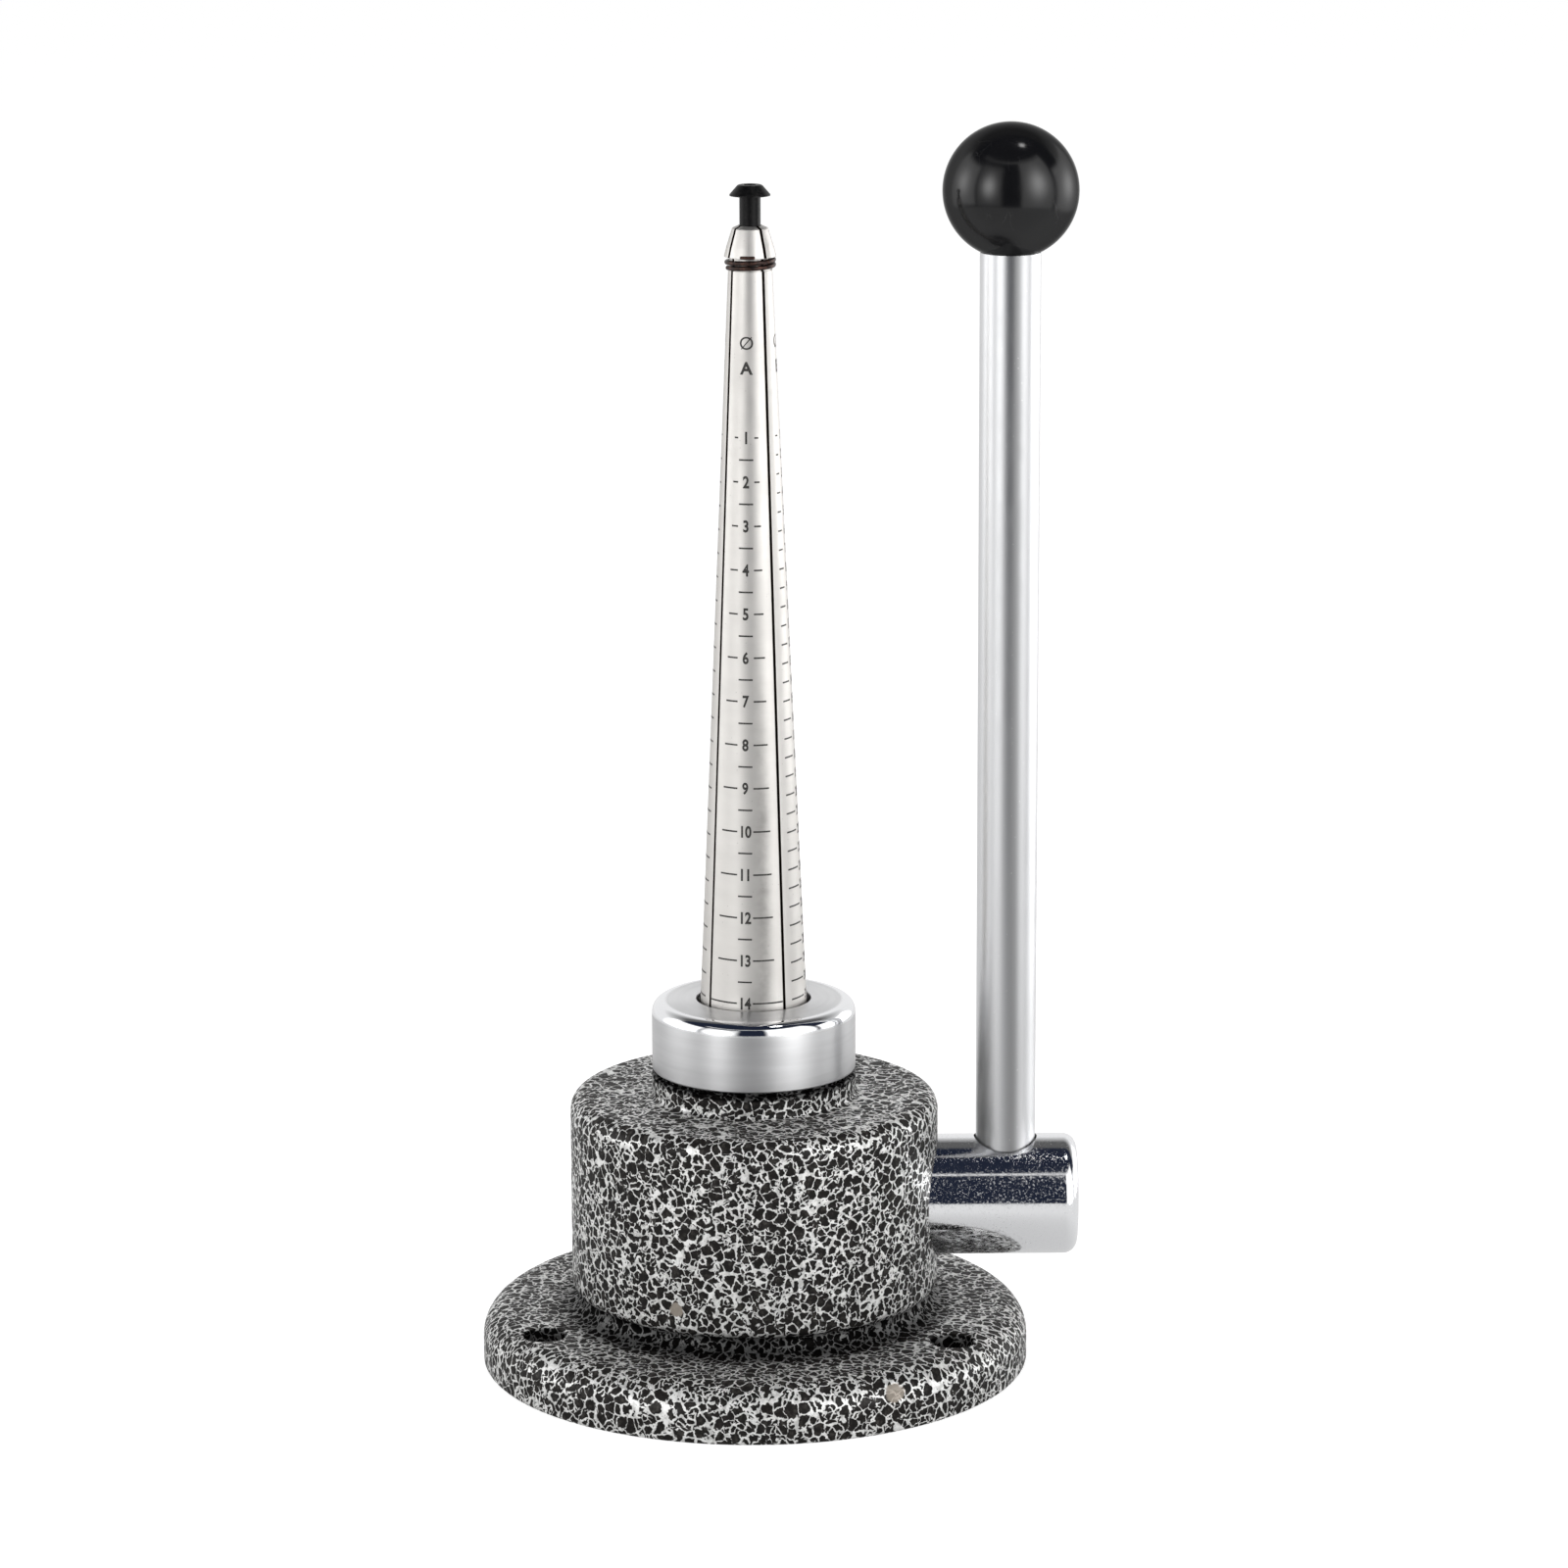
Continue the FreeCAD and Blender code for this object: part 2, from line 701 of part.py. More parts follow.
nodes = {
    "base_casting": base_casting(),
    "bottom_plate": bottom_plate(),
    "bottom_plate_screws": bottom_plate_screws(),
    "guide_bush": guide_bush(),
    "shaft_bush_right": shaft_bush_right(),
    "shaft_bush_left": shaft_bush_left(),
    "thrust_washer": thrust_washer(),
    "collar": collar(),
    "return_spring": return_spring(),
    "foot_ring": foot_ring(),
    "jaw_ring": jaw_ring(),
    "draw_bar": draw_bar(),
    "yoke": yoke(),
    "yoke_pin": yoke_pin(),
    "bar_screw": bar_screw(),
    "lever_shaft": lever_shaft(),
    "shaft_circlip": shaft_circlip(),
    "lever_rod": lever_rod(),
    "lever_ball": lever_ball(),
}
for side, azimuth in zip(("front", "right", "back", "left"), evenly(jaw_count, first_jaw_azimuth)):
    nodes["jaw_" + side] = jaw(azimuth)

os.makedirs("parts", exist_ok=True)
for name, shape in nodes.items():
    shape.exportStep("parts/" + name + ".step")
    print(name, "solids", len(shape.Solids), "valid", shape.isValid(), "volume", round(shape.Volume, 1))
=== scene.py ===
import math
from functools import reduce
from types import SimpleNamespace

import bmesh
import bpy
from mathutils import Matrix, Vector


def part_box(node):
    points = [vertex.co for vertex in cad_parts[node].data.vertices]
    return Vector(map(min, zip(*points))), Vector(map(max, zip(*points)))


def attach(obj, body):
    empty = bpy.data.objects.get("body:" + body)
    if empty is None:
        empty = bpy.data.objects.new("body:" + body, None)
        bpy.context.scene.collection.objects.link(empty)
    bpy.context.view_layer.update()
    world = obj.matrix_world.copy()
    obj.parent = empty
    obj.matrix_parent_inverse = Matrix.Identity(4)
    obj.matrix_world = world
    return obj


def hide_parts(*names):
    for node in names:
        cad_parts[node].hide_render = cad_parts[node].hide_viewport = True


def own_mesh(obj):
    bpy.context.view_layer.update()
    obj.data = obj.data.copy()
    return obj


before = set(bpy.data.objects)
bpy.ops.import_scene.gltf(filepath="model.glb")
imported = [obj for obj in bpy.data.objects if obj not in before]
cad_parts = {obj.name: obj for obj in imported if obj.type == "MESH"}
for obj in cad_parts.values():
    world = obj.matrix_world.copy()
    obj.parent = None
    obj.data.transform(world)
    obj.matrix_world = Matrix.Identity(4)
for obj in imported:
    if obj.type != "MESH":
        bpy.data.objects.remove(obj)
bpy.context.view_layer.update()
mm = 0.001
print("frame loaded with", len(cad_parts), "solids")


# The lowest and the highest corner of a node's box, in millimetres
def boxOf(node):
    return [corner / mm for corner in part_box(node)]


# Places that the pieces share, read from the frame
collarLow, collarHigh = boxOf("collar")
shaftLow, shaftHigh = boxOf("lever_shaft")
rodLow, rodHigh = boxOf("lever_rod")
ballLow, ballHigh = boxOf("lever_ball")
screwLow, screwHigh = boxOf("bar_screw")
springLow, springHigh = boxOf("return_spring")
footLow, footHigh = boxOf("foot_ring")
castingTop = boxOf("base_casting")[1].z
mandrelTip = boxOf("jaw_front")[1].z
shaftRadius = (shaftHigh.z - shaftLow.z) / 2
shaftHeight = (shaftHigh.z + shaftLow.z) / 2
rodRadius = (rodHigh.x - rodLow.x) / 2
rodPlace = (rodHigh.x + rodLow.x) / 2


casting = {
    "flangeRadius": 60.0, "flangeThickness": 12.4, "flangeEdge": 6.5, "footEdge": 0.8,
    "neck": 37.9, "cove": 3.8, "barrelFoot": 16.6, "barrelFootEdge": 2.2,
    "barrelRadius": 40.25, "barrelTop": 60.5, "barrelEdge": 3.5,
    "bossRadius": 22.3, "bossTop": 65.4, "bossCove": 1.0, "bossEdge": 0.35,
    "seat": 21.1, "spigot": 18.45, "guideHole": 9.0,
    "cavity": 33.0, "cavityTop": 56.0, "cavityFloor": 4.0, "cavityCorner": 3.0, "plateRecess": 40.15,
    "rightBoss": (20.0, 25.0), "leftBoss": (14.0, 24.0), "bossEnd": 34.0,
    "rightBore": ((16.0, 36.0), (13.5, 42.0)), "leftBore": (9.0, 37.2),
    "boltCircle": 51.0, "boltHole": 4.5, "boltLip": 0.7, "firstBolt": -63.65,
    "screwCircle": 36.5, "screwHole": 1.55, "screwDepth": 10.9,
}


# Azimuths run from the front towards the lever
def atAzimuth(radius, azimuth, height=0):
    angle = math.radians(azimuth)
    return Vector((radius * math.sin(angle), -radius * math.cos(angle), height))


# Shader helpers


# A node's output that formulas can use. Each operator adds its node to the same tree.
class Value:
    def __init__(self, socket):
        self.socket = socket
        self.tree = socket.id_data

    def __add__(self, other):
        return calculate("ADD", self, other)

    def __sub__(self, other):
        return calculate("SUBTRACT", self, other)

    def __rsub__(self, other):
        return calculate("SUBTRACT", other, self)

    def __mul__(self, other):
        return calculate("MULTIPLY", self, other)

    def __truediv__(self, other):
        return calculate("DIVIDE", self, other)

    def __rtruediv__(self, other):
        return calculate("DIVIDE", other, self)

    __radd__ = __add__
    __rmul__ = __mul__


def feed(socket, value):
    if isinstance(value, Value):
        value.tree.links.new(value.socket, socket)
    elif socket.type == "RGBA" and len(value) == 3:
        socket.default_value = (*value, 1)
    else:
        socket.default_value = value


# Sets or links inputs by name, with a low line for each space in it
def connect(node, **values):
    for label, value in values.items():
        feed(node.inputs[label.replace("_", " ")], value)


# A node in the tree that its inputs come from
def addNode(kind, inputs, **settings):
    tree = next(value.tree for value in inputs.values() if isinstance(value, Value))
    node = tree.nodes.new("ShaderNode" + kind)
    for name, setting in settings.items():
        setattr(node, name, setting)
    for key, value in inputs.items():
        feed(node.inputs[key], value)
    return node


def outputsOf(node):
    return {socket.name: Value(socket) for socket in node.outputs}


def isNumber(value):
    if isinstance(value, Value):
        return value.socket.type == "VALUE"
    return not isinstance(value, tuple)


# One operation, on numbers or on vectors as its values ask
def calculate(operation, *values):
    if all(isNumber(value) for value in values):
        return Value(addNode("Math", dict(enumerate(values)), operation=operation).outputs[0])
    if operation == "MULTIPLY" and isNumber(values[1]):
        node = addNode("VectorMath", {0: values[0], "Scale": values[1]}, operation="SCALE")
    else:
        node = addNode("VectorMath", dict(enumerate(values)), operation=operation)
    single = operation in ("DOT_PRODUCT", "LENGTH", "DISTANCE")
    return Value(node.outputs["Value" if single else "Vector"])


def larger(first, second):
    return calculate("MAXIMUM", first, second)


# Goes from 0 to 1 as the value goes from low to high, softly at both ends
def rise(value, low, high):
    inputs = {"Value": value, "From Min": low, "From Max": high}
    return Value(addNode("MapRange", inputs, interpolation_type="SMOOTHSTEP").outputs["Result"])


def spread(value, low, high, lowest=0.0, highest=1.0):
    inputs = {"Value": value, "From Min": lowest, "From Max": highest, "To Min": low, "To Max": high}
    return Value(addNode("MapRange", inputs).outputs["Result"])


# A bell curve with the given middle and width
def bell(value, middle, width):
    off = (value - middle) / width
    return calculate("EXPONENT", off * off * -1)


def blendColours(share, first, second, way="MIX"):
    return Value(addNode("Mix", {0: share, 6: first, 7: second}, data_type="RGBA", blend_type=way).outputs[2])


def dimmed(colour, shade):
    return blendColours(1.0, colour, together(shade, shade, shade), "MULTIPLY")


# Noise and cells of a size in millimetres
def noise(place, size, detail=2.0, roughness=0.5, output="Fac"):
    inputs = {"Vector": place, "Scale": 1 / (size * mm), "Detail": detail, "Roughness": roughness}
    return Value(addNode("TexNoise", inputs).outputs[output])


def cells(place, size, feature="F1"):
    return outputsOf(addNode("TexVoronoi", {"Vector": place, "Scale": 1 / (size * mm)}, feature=feature))


def apart(vector):
    return [Value(part) for part in addNode("SeparateXYZ", {0: vector}).outputs]


def together(x, y, z):
    return Value(addNode("CombineXYZ", {0: x, 1: y, 2: z}).outputs[0])


def bumped(height, depth, strength):
    inputs = {"Height": height, "Distance": depth * mm, "Strength": strength}
    return Value(addNode("Bump", inputs).outputs[0])


def objectPlace(tree):
    return Value(tree.nodes.new("ShaderNodeTexCoord").outputs["Object"])


# A new material, its Principled shader and the place on the piece
def startMaterial(name, colour, metallic, roughness, **sockets):
    material = bpy.data.materials.new(name)
    material.use_nodes = True
    shader = material.node_tree.nodes["Principled BSDF"]
    connect(shader, Base_Color=colour, Metallic=metallic, Roughness=roughness, **sockets)
    return material, shader, objectPlace(material.node_tree)


def startGroup(name, takes, gives):
    tree = bpy.data.node_groups.new(name, "ShaderNodeTree")
    for label, value in takes.items():
        kind = "NodeSocketVector" if isinstance(value, tuple) else "NodeSocketFloat"
        socket = tree.interface.new_socket(name=label, in_out="INPUT", socket_type=kind)
        socket.default_value = value
    for label in gives:
        tree.interface.new_socket(name=label, in_out="OUTPUT", socket_type="NodeSocketFloat")
    return tree, outputsOf(tree.nodes.new("NodeGroupInput")), tree.nodes.new("NodeGroupOutput")


def useGroup(tree, group, **values):
    node = tree.nodes.new("ShaderNodeGroup")
    node.node_tree = group
    connect(node, **values)
    return outputsOf(node)


metre = 1000  # in millimetres, for noise on values that already have their scale


# Fine cutting marks across the given line, in uneven bands
def cuttingMarksGroup():
    bandShare = 0.06
    tree, taken, given = startGroup(
        "cuttingMarks", {"Along": 0.0, "Around": 0.0, "Pitch": 0.12}, ("Marks", "Bands"))
    turns = taken["Along"] / (taken["Pitch"] * mm)
    marks = noise(together(turns, taken["Around"], 0.0), metre, detail=3.0)
    bands = noise(together(turns * bandShare, taken["Around"], 4.0), metre)
    connect(given, Marks=marks, Bands=bands)
    return tree


# Sizes in millimetres, each with the two levels between which it fades in
wearLook = {
    "smears": (14, 0.4, 0.7), "scratches": (2.6, 0.012, 0.0), "scratched": (5, 0.56, 0.66),
    "bend": (9, 1.6), "stretch": (1.0, 1.0, 0.12), "pits": (1.1, 0.14, 0.07), "pitted": (0.80, 0.84),
}


# Faint smears and a few short scratches and pits from handling
def handlingGroup():
    look = SimpleNamespace(**wearLook)
    tree, taken, given = startGroup("handling", {"Size": 1.0}, ("Smears", "Scratches", "Pits"))
    place = objectPlace(tree) * taken["Size"]
    size, low, high = look.smears
    smears = rise(noise(place, size, detail=4, roughness=0.62), low, high)
    size, reach = look.bend
    bent = place * look.stretch + noise(place, size, output="Color") * (reach * mm)
    size, low, high = look.scratches
    lines = rise(cells(bent, size, "DISTANCE_TO_EDGE")["Distance"], low, high)
    size, low, high = look.scratched
    few = rise(noise(place, size, detail=1), low, high)
    size, low, high = look.pits
    spots = cells(place, size)
    rare = rise(apart(spots["Color"])[0], *look.pitted)
    connect(given, Smears=smears, Scratches=lines * few, Pits=rise(spots["Distance"], low, high) * rare)
    return tree


cuttingMarks = cuttingMarksGroup()
handling = handlingGroup()

# Finishes

hammerLook = {
    "large": (2.25, 0.08),  # mm between the dark spots, and the share of it that stays silver at each side
    "small": (1.5, 0.095),
    "smallShift": (0.031, 0.017, 0.053),  # metres, so that the two sizes don't follow each other
    "patches": (3.6, (0.42, 0.45), (0.49, 0.46)),  # mm, where large spots begin and where small ones do
    "insets": (-0.08, 0.05), "corners": (0.62, 0.95), "joining": 0.07, "softness": 0.022,
    "bends": ((2.4, 1.5), (0.75, 0.7)),  # mm over which the spots are pushed about, and how far
    "ragged": (0.6, 0.16),
    "dark": (0.010, 0.009, 0.0085),
    "darkWorn": (0.05, 0.046, 0.042),
    "silver": (0.74, 0.74, 0.73),
    "silverShade": (0.48, 0.48, 0.47),
    "tone": (1.2, 3, 0.65), "wornLevels": (0.46, 0.78), "silverLevels": (0.36, 0.60),
    "metallic": 0.45, "specular": 0.5, "roughness": (0.3, 0.22), "coat": 0.42, "chipDepth": 1.5,
    "swell": 2.2, "bumps": (0.10, 0.55), "coatBumps": (0.05, 0.4),
    "chip": (0.27, 0.24, 0.205),
    "chips": (((-17.0, -36.5, 22.4), 1.7), ((29.8, -52.1, 9.2), 2.6), ((-19.3, -55.0, 12.2), 1.6)),
    # Lowest, highest and widest of the places given painted shade, and how softly it ends upwards and
    # outwards
    "shadePlaces": ((10.5, 17.4, 47.0, 1.8, 8.0), (64.1, 67.5, 22.9, 0.6, 0.5)),
    # How deep the painted shade goes at most, and the radii within which the bolt holes are painted dark
    "dirtiest": 0.9, "hole": (4.55, 5.05),
}


# Rounded spots of uneven size from one Voronoi grid, a few of them run together
def spotsGroup():
    look = SimpleNamespace(**hammerLook)
    tree, taken, given = startGroup(
        "spots", {"Place": (0, 0, 0), "Size": 1.0, "Ragged": 0.0, "Inset": 0.1}, ("Spots",))
    sized = taken["Place"] * (1 / taken["Size"])
    toEdge = cells(sized, 1.0, "DISTANCE_TO_EDGE")["Distance"]
    point = cells(sized, 1.0)
    lot = apart(point["Color"])
    inset = toEdge - (taken["Inset"] + spread(lot[0], *look.insets))
    corner = spread(lot[1], *look.corners) - point["Distance"]
    level = calculate("SMOOTH_MIN", inset, corner, look.joining) + taken["Ragged"]
    connect(given, Spots=rise(level, -look.softness, look.softness))
    return tree


# Dark spots, 0 to 1, and the bent place that the chips follow too
def hammerSpots(place):
    look = SimpleNamespace(**hammerLook)
    spots = spotsGroup()
    bent = place
    for size, reach in look.bends:
        push = noise(place, size, detail=1, output="Color") - (0.5, 0.5, 0.5)
        bent = bent + push * (reach * mm)
    size, depth = look.ragged
    ragged = (noise(place, size, detail=1) - 0.5) * depth
    size, inset = look.large
    large = useGroup(place.tree, spots, Place=bent, Size=size, Ragged=ragged, Inset=inset)["Spots"]
    shifted = bent + look.smallShift
    size, inset = look.small
    small = useGroup(place.tree, spots, Place=shifted, Size=size, Ragged=ragged, Inset=inset)["Spots"]
    size, largeFrom, smallFrom = look.patches
    patch = noise(place, size, detail=1)
    return larger(large * rise(patch, *largeFrom), small * rise(patch, *smallFrom)), bent


# Painted shade, 0 to 1: darker in the cove, round the boss and in the bolt holes
def hammerPaintedShade(place):
    radius, _, along = aboutAxis(place)
    shaded = []
    for low, high, widest, upwards, outwards in hammerLook["shadePlaces"]:
        level = rise(along, low * mm, (low + upwards) * mm) * rise(
            along, high * mm, (high - 0.5 * upwards) * mm)
        shaded.append(level * rise(radius, widest * mm, (widest - outwards) * mm))
    inner, outer = hammerLook["hole"]
    for i in range(3):
        centre = atAzimuth(casting["boltCircle"] * mm, casting["firstBolt"] + 120 * i)
        reach = calculate("DISTANCE", place * (1, 1, 0), tuple(centre))
        shaded.append(rise(reach, outer * mm, inner * mm))
    return reduce(larger, shaded)


# Hammer finish paint: rounded dark spots in a net of silver, under a clear gloss
def hammerPaint():
    look = SimpleNamespace(**hammerLook)
    material, shader, place = startMaterial(
        "hammerPaint", look.silver, 0.4, 0.4, Coat_Roughness=0.3, Coat_IOR=1.3)
    dark, bent = hammerSpots(place)
    tone = noise(place, *look.tone)
    darkTone = blendColours(rise(tone, *look.wornLevels), look.dark, look.darkWorn)
    silverTone = blendColours(rise(tone, *look.silverLevels), look.silverShade, look.silver)
    painted = blendColours(dark, silverTone, darkTone)
    chips = []
    for centre, size in look.chips:
        reach = calculate("DISTANCE", bent, tuple(c * mm for c in centre))
        chips.append(rise(reach, size * mm, 0.8 * size * mm))
    chipped = reduce(larger, chips)
    # Painted shade in the hollows darkens the colour and thins the coat there
    unshaded = 1 - hammerPaintedShade(place) * look.dirtiest
    light = 1 - dark
    plain, uneven = look.roughness
    height = noise(place, look.swell) - dark - chipped * look.chipDepth
    connect(
        shader, Base_Color=blendColours(chipped, dimmed(painted, unshaded), look.chip),
        Metallic=light * look.metallic, Specular_IOR_Level=light * look.specular,
        Roughness=plain + tone * uneven, Coat_Weight=(1 - chipped) * look.coat * unshaded,
        Normal=bumped(height, *look.bumps), Coat_Normal=bumped(height, *look.coatBumps))
    return material


# Distance from the mandrel's axis, azimuth from the front and height
def aboutAxis(place):
    x, y, z = apart(place)
    return calculate("SQRT", x * x + y * y), calculate("ARCTAN2", x, y * -1), z


# A metal whose grain runs round it, along the UV map
def startGrained(name, look):
    material, shader, place = startMaterial(
        name, look.colour, 1.0, look.roughness, Anisotropic=look.anisotropic,
        Anisotropic_Rotation=0.25)
    node = place.tree.nodes.new("ShaderNodeTangent")
    node.direction_type = "UV_MAP"
    node.uv_map = "around"
    connect(shader, Tangent=Value(node.outputs[0]))
    return material, shader, place


# Cutting marks and wear on a metal, and how rough they leave it
def markAndWear(look, along, around):
    marks = useGroup(along.tree, cuttingMarks, Along=along, Around=around, Pitch=look.pitch)
    wear = useGroup(along.tree, handling, Size=look.wearSize)
    rough = look.roughness + (marks["Marks"] - 0.5) * look.marks + wear["Smears"] * look.smears
    return marks, wear, rough


aluminiumLook = {
    "colour": (0.74, 0.742, 0.75), "bright": (0.85, 0.855, 0.87), "roughness": 0.34, "rim": 0.07,
    "rimWidth": 3.4,  # of the polished zone, from the side's corner with the top
    "anisotropic": 0.5, "pitch": 0.1, "marks": 0.12, "smears": 0.06, "wearSize": 1.0,
    # duller: how much darker the collar's side is painted
    "bands": (0.88, 0.2), "duller": 0.3, "pits": 0.7, "bumps": (0.002, 0.3),
}


# Turned aluminium: brushed on the side and the top, polished on the rounded rim
def turnedAluminium():
    look = SimpleNamespace(**aluminiumLook)
    material, shader, place = startGrained("turnedAluminium", look)
    radius, around, along = aboutAxis(place)
    marks, wear, satin = markAndWear(look, radius + along, around)
    width = look.rimWidth * mm
    low = rise(along, collarHigh.z * mm - width, collarHigh.z * mm - 0.75 * width)
    outer = rise(radius, collarHigh.x * mm - width, collarHigh.x * mm - 0.75 * width)
    rim = low * outer
    darkest, lift = look.bands
    # Painted shade: the side below the polished rim is darkened
    shade = darkest + marks["Bands"] * lift - outer * (1 - low) * look.duller
    connect(
        shader, Base_Color=blendColours(rim, dimmed(look.colour, shade), look.bright),
        Roughness=spread(rim, satin, look.rim),
        Normal=bumped(marks["Marks"] - wear["Pits"] * look.pits, *look.bumps))
    return material


steelLook = {
    "colour": (0.57, 0.555, 0.534), "sawn": (0.022, 0.015, 0.012), "roughness": 0.48, "anisotropic": 0.1,
    "firstSlot": 35.2, "slotHalf": 0.25, "slotEdge": 0.15,
    "pitch": 0.22, "marks": 0.1, "smears": 0.07, "wearSize": 1.0, "bands": (0.92, 0.14), "pits": 0.25,
    "wound": 1.5, "bumps": (0.0015, 0.3),
    # Painted shade, a darker stretch up the front in place of a dark reflection: azimuth and width in
    # degrees, the heights it fades between, its depths
    "dull": (12.0, 11.0), "dullHeights": (190, 110), "dullDepth": (0.15, 0.6), "blotches": 5,
}


# How far a point is from the nearest of the four saw cuts, in metres
def toSlot(radius, around):
    quarter = calculate("WRAP", calculate("DEGREES", around) - steelLook["firstSlot"], 45.0, -45.0)
    return calculate("ABSOLUTE", radius * calculate("SINE", calculate("RADIANS", quarter)))


# Ground tool steel with a warm nickel tone, for the jaws
def groundSteel():
    look = SimpleNamespace(**steelLook)
    material, shader, place = startGrained("groundSteel", look)
    radius, around, along = aboutAxis(place)
    marks, wear, rough = markAndWear(look, along, around * look.wound)
    darkest, lift = look.bands
    shade = darkest + marks["Bands"] * lift - wear["Pits"] * look.pits
    # Painted shade: a blotched darker stretch up the front of the jaws
    low, high = look.dullHeights
    least, blotched = look.dullDepth
    patch = bell(calculate("DEGREES", around), *look.dull) * rise(along, low * mm, high * mm)
    patch = patch * (least + noise(place, look.blotches, detail=3, roughness=0.6) * blotched)
    half, edge = look.slotHalf, look.slotEdge
    sawn = rise(toSlot(radius, around), (half + edge) * mm, (half + 0.4 * edge) * mm)
    connect(
        shader, Base_Color=blendColours(sawn, dimmed(look.colour, shade * (1 - patch)), look.sawn),
        Roughness=rough, Normal=bumped(marks["Marks"] - wear["Scratches"], *look.bumps))
    return material


chromeLook = {
    "colour": (0.84, 0.845, 0.86), "pitColour": (0.35, 0.35, 0.37), "roughness": 0.06,
    "smears": 0.06, "specks": 0.2, "speckSize": 0.5, "speckLevels": (0.48, 0.66), "pits": 0.25,
    "ripple": (1.5, 4, 0.7), "dents": 0.9, "bumps": (0.014, 0.6), "wearSize": 1.3,
}


# Bright chrome plate with the faint ripple and specks of plating over turned steel
def chromePlate():
    look = SimpleNamespace(**chromeLook)
    material, shader, place = startMaterial("chromePlate", look.colour, 1.0, look.roughness)
    wear = useGroup(place.tree, handling, Size=look.wearSize)
    ripple = noise(place, *look.ripple)
    specks = rise(noise(place, look.speckSize, detail=3, roughness=0.6), *look.speckLevels)
    rough = look.roughness + wear["Smears"] * look.smears + specks * look.specks
    connect(
        shader, Base_Color=blendColours(wear["Pits"] * 0.5, look.colour, look.pitColour),
        Roughness=rough + wear["Pits"] * look.pits,
        Normal=bumped(ripple - wear["Pits"] * look.dents, *look.bumps))
    return material


rodLook = {
    "colour": (0.66, 0.665, 0.675), "pitColour": (0.9, 0.9, 0.9), "roughness": 0.38, "anisotropic": 0.6,
    "pitch": 0.16, "marks": 0.06, "smears": 0.05, "wearSize": 1.3, "wound": 2.0, "bumps": (0.002, 0.3),
    # Painted shade, darker stretches along the rod in place of dark reflections: azimuth from the front,
    # width in degrees and depth of each
    "duller": ((13.0, 18.0, 0.66), (-22.0, 9.0, 0.26)),
}


# The rod's plating keeps the grinding marks round it, which draw reflections out along it
def groundChrome():
    look = SimpleNamespace(**rodLook)
    material, shader, place = startGrained("groundChrome", look)
    x, y, z = apart(place)
    around = calculate("ARCTAN2", x - rodPlace * mm, y * -1)
    marks, wear, rough = markAndWear(look, z, around * look.wound)
    # Painted shade: the colour is darker at these azimuths, standing in for dark reflections
    shade = 1.0
    for middle, width, depth in look.duller:
        shade = shade - bell(calculate("DEGREES", around), middle, width) * depth
    connect(
        shader, Base_Color=blendColours(wear["Pits"] * 0.5, dimmed(look.colour, shade), look.pitColour),
        Roughness=rough, Normal=bumped(marks["Marks"] - wear["Pits"], *look.bumps))
    return material


knobLook = {
    "colour": (0.005, 0.005, 0.0055), "scratched": (0.02, 0.02, 0.02), "roughness": 0.12, "wearSize": 0.9,
    "haze": (3.5, 0.10, 0.06), "smears": 0.07, "gloss": (0.34, 0.012), "glossFade": (0.8, 0.22), "swell": 6,
}


# Moulded black phenolic, polished, whose gloss fades towards the edge of what is seen
def blackKnob():
    look = SimpleNamespace(**knobLook)
    material, shader, place = startMaterial("blackKnob", look.colour, 0.0, look.roughness)
    facing = Value(place.tree.nodes.new("ShaderNodeLayerWeight").outputs["Facing"])
    inner = rise(facing, *look.glossFade)
    most, lowest = look.gloss
    wear = useGroup(place.tree, handling, Size=look.wearSize)
    size, least, hazy = look.haze
    rough = least + noise(place, size, detail=3) * hazy + wear["Smears"] * look.smears
    connect(
        shader, Base_Color=blendColours(wear["Scratches"], look.colour, look.scratched),
        Roughness=rough, Specular_IOR_Level=inner * inner * most + lowest,
        Normal=bumped(noise(place, look.swell, detail=1), 0.03, 0.1))
    return material


# Finishes whose colour and roughness follow one noise: size, detail and roughness of the noise, where the
# second colour begins and ends, both colours, both roughnesses and the depth and strength of the bumps. What
# each starts with, colour, metallic and roughness, is what shows where shaders aren't read.
mottled = {
    "blackOxide": {
        "start": ((0.01, 0.01, 0.011), 0.0, 0.36), "noise": (0.8, 4, 0.65), "levels": (0.4, 0.8),
        "colours": ((0.002, 0.002, 0.0022), (0.010, 0.0095, 0.0095)), "roughness": (0.3, 0.5),
        "bumps": (0.01, 0.4), "sockets": {"Specular_IOR_Level": 0.14},
    },
    "brownedWire": {
        "start": ((0.08, 0.045, 0.035), 0.7, 0.32), "noise": (0.9, 4, 0.6), "levels": (0.42, 0.62),
        "colours": ((0.016, 0.010, 0.009), (0.062, 0.029, 0.021)), "roughness": (0.26, 0.5),
        "bumps": (0.01, 0.4), "sockets": {},
    },
    "scaleFiller": {
        "start": ((0.014, 0.013, 0.012), 0.0, 0.55), "noise": (0.35, 3, 0.5), "levels": (0.5, 0.75),
        "colours": ((0.012, 0.011, 0.010), (0.06, 0.055, 0.05)), "roughness": (0.45, 0.7),
        "bumps": None, "sockets": {},
    },
}


def mottledFinish(name):
    look = SimpleNamespace(**mottled[name])
    material, shader, place = startMaterial(name, *look.start, **look.sockets)
    tone = noise(place, *look.noise)
    connect(
        shader, Base_Color=blendColours(rise(tone, *look.levels), *look.colours),
        Roughness=spread(tone, *look.roughness))
    if look.bumps:
        connect(shader, Normal=bumped(tone, *look.bumps))
    return material


machinedLook = {"pitch": 0.2, "wearSize": 0.8, "dull": 0.55, "smears": 0.5, "marks": (0.06, 0.16)}


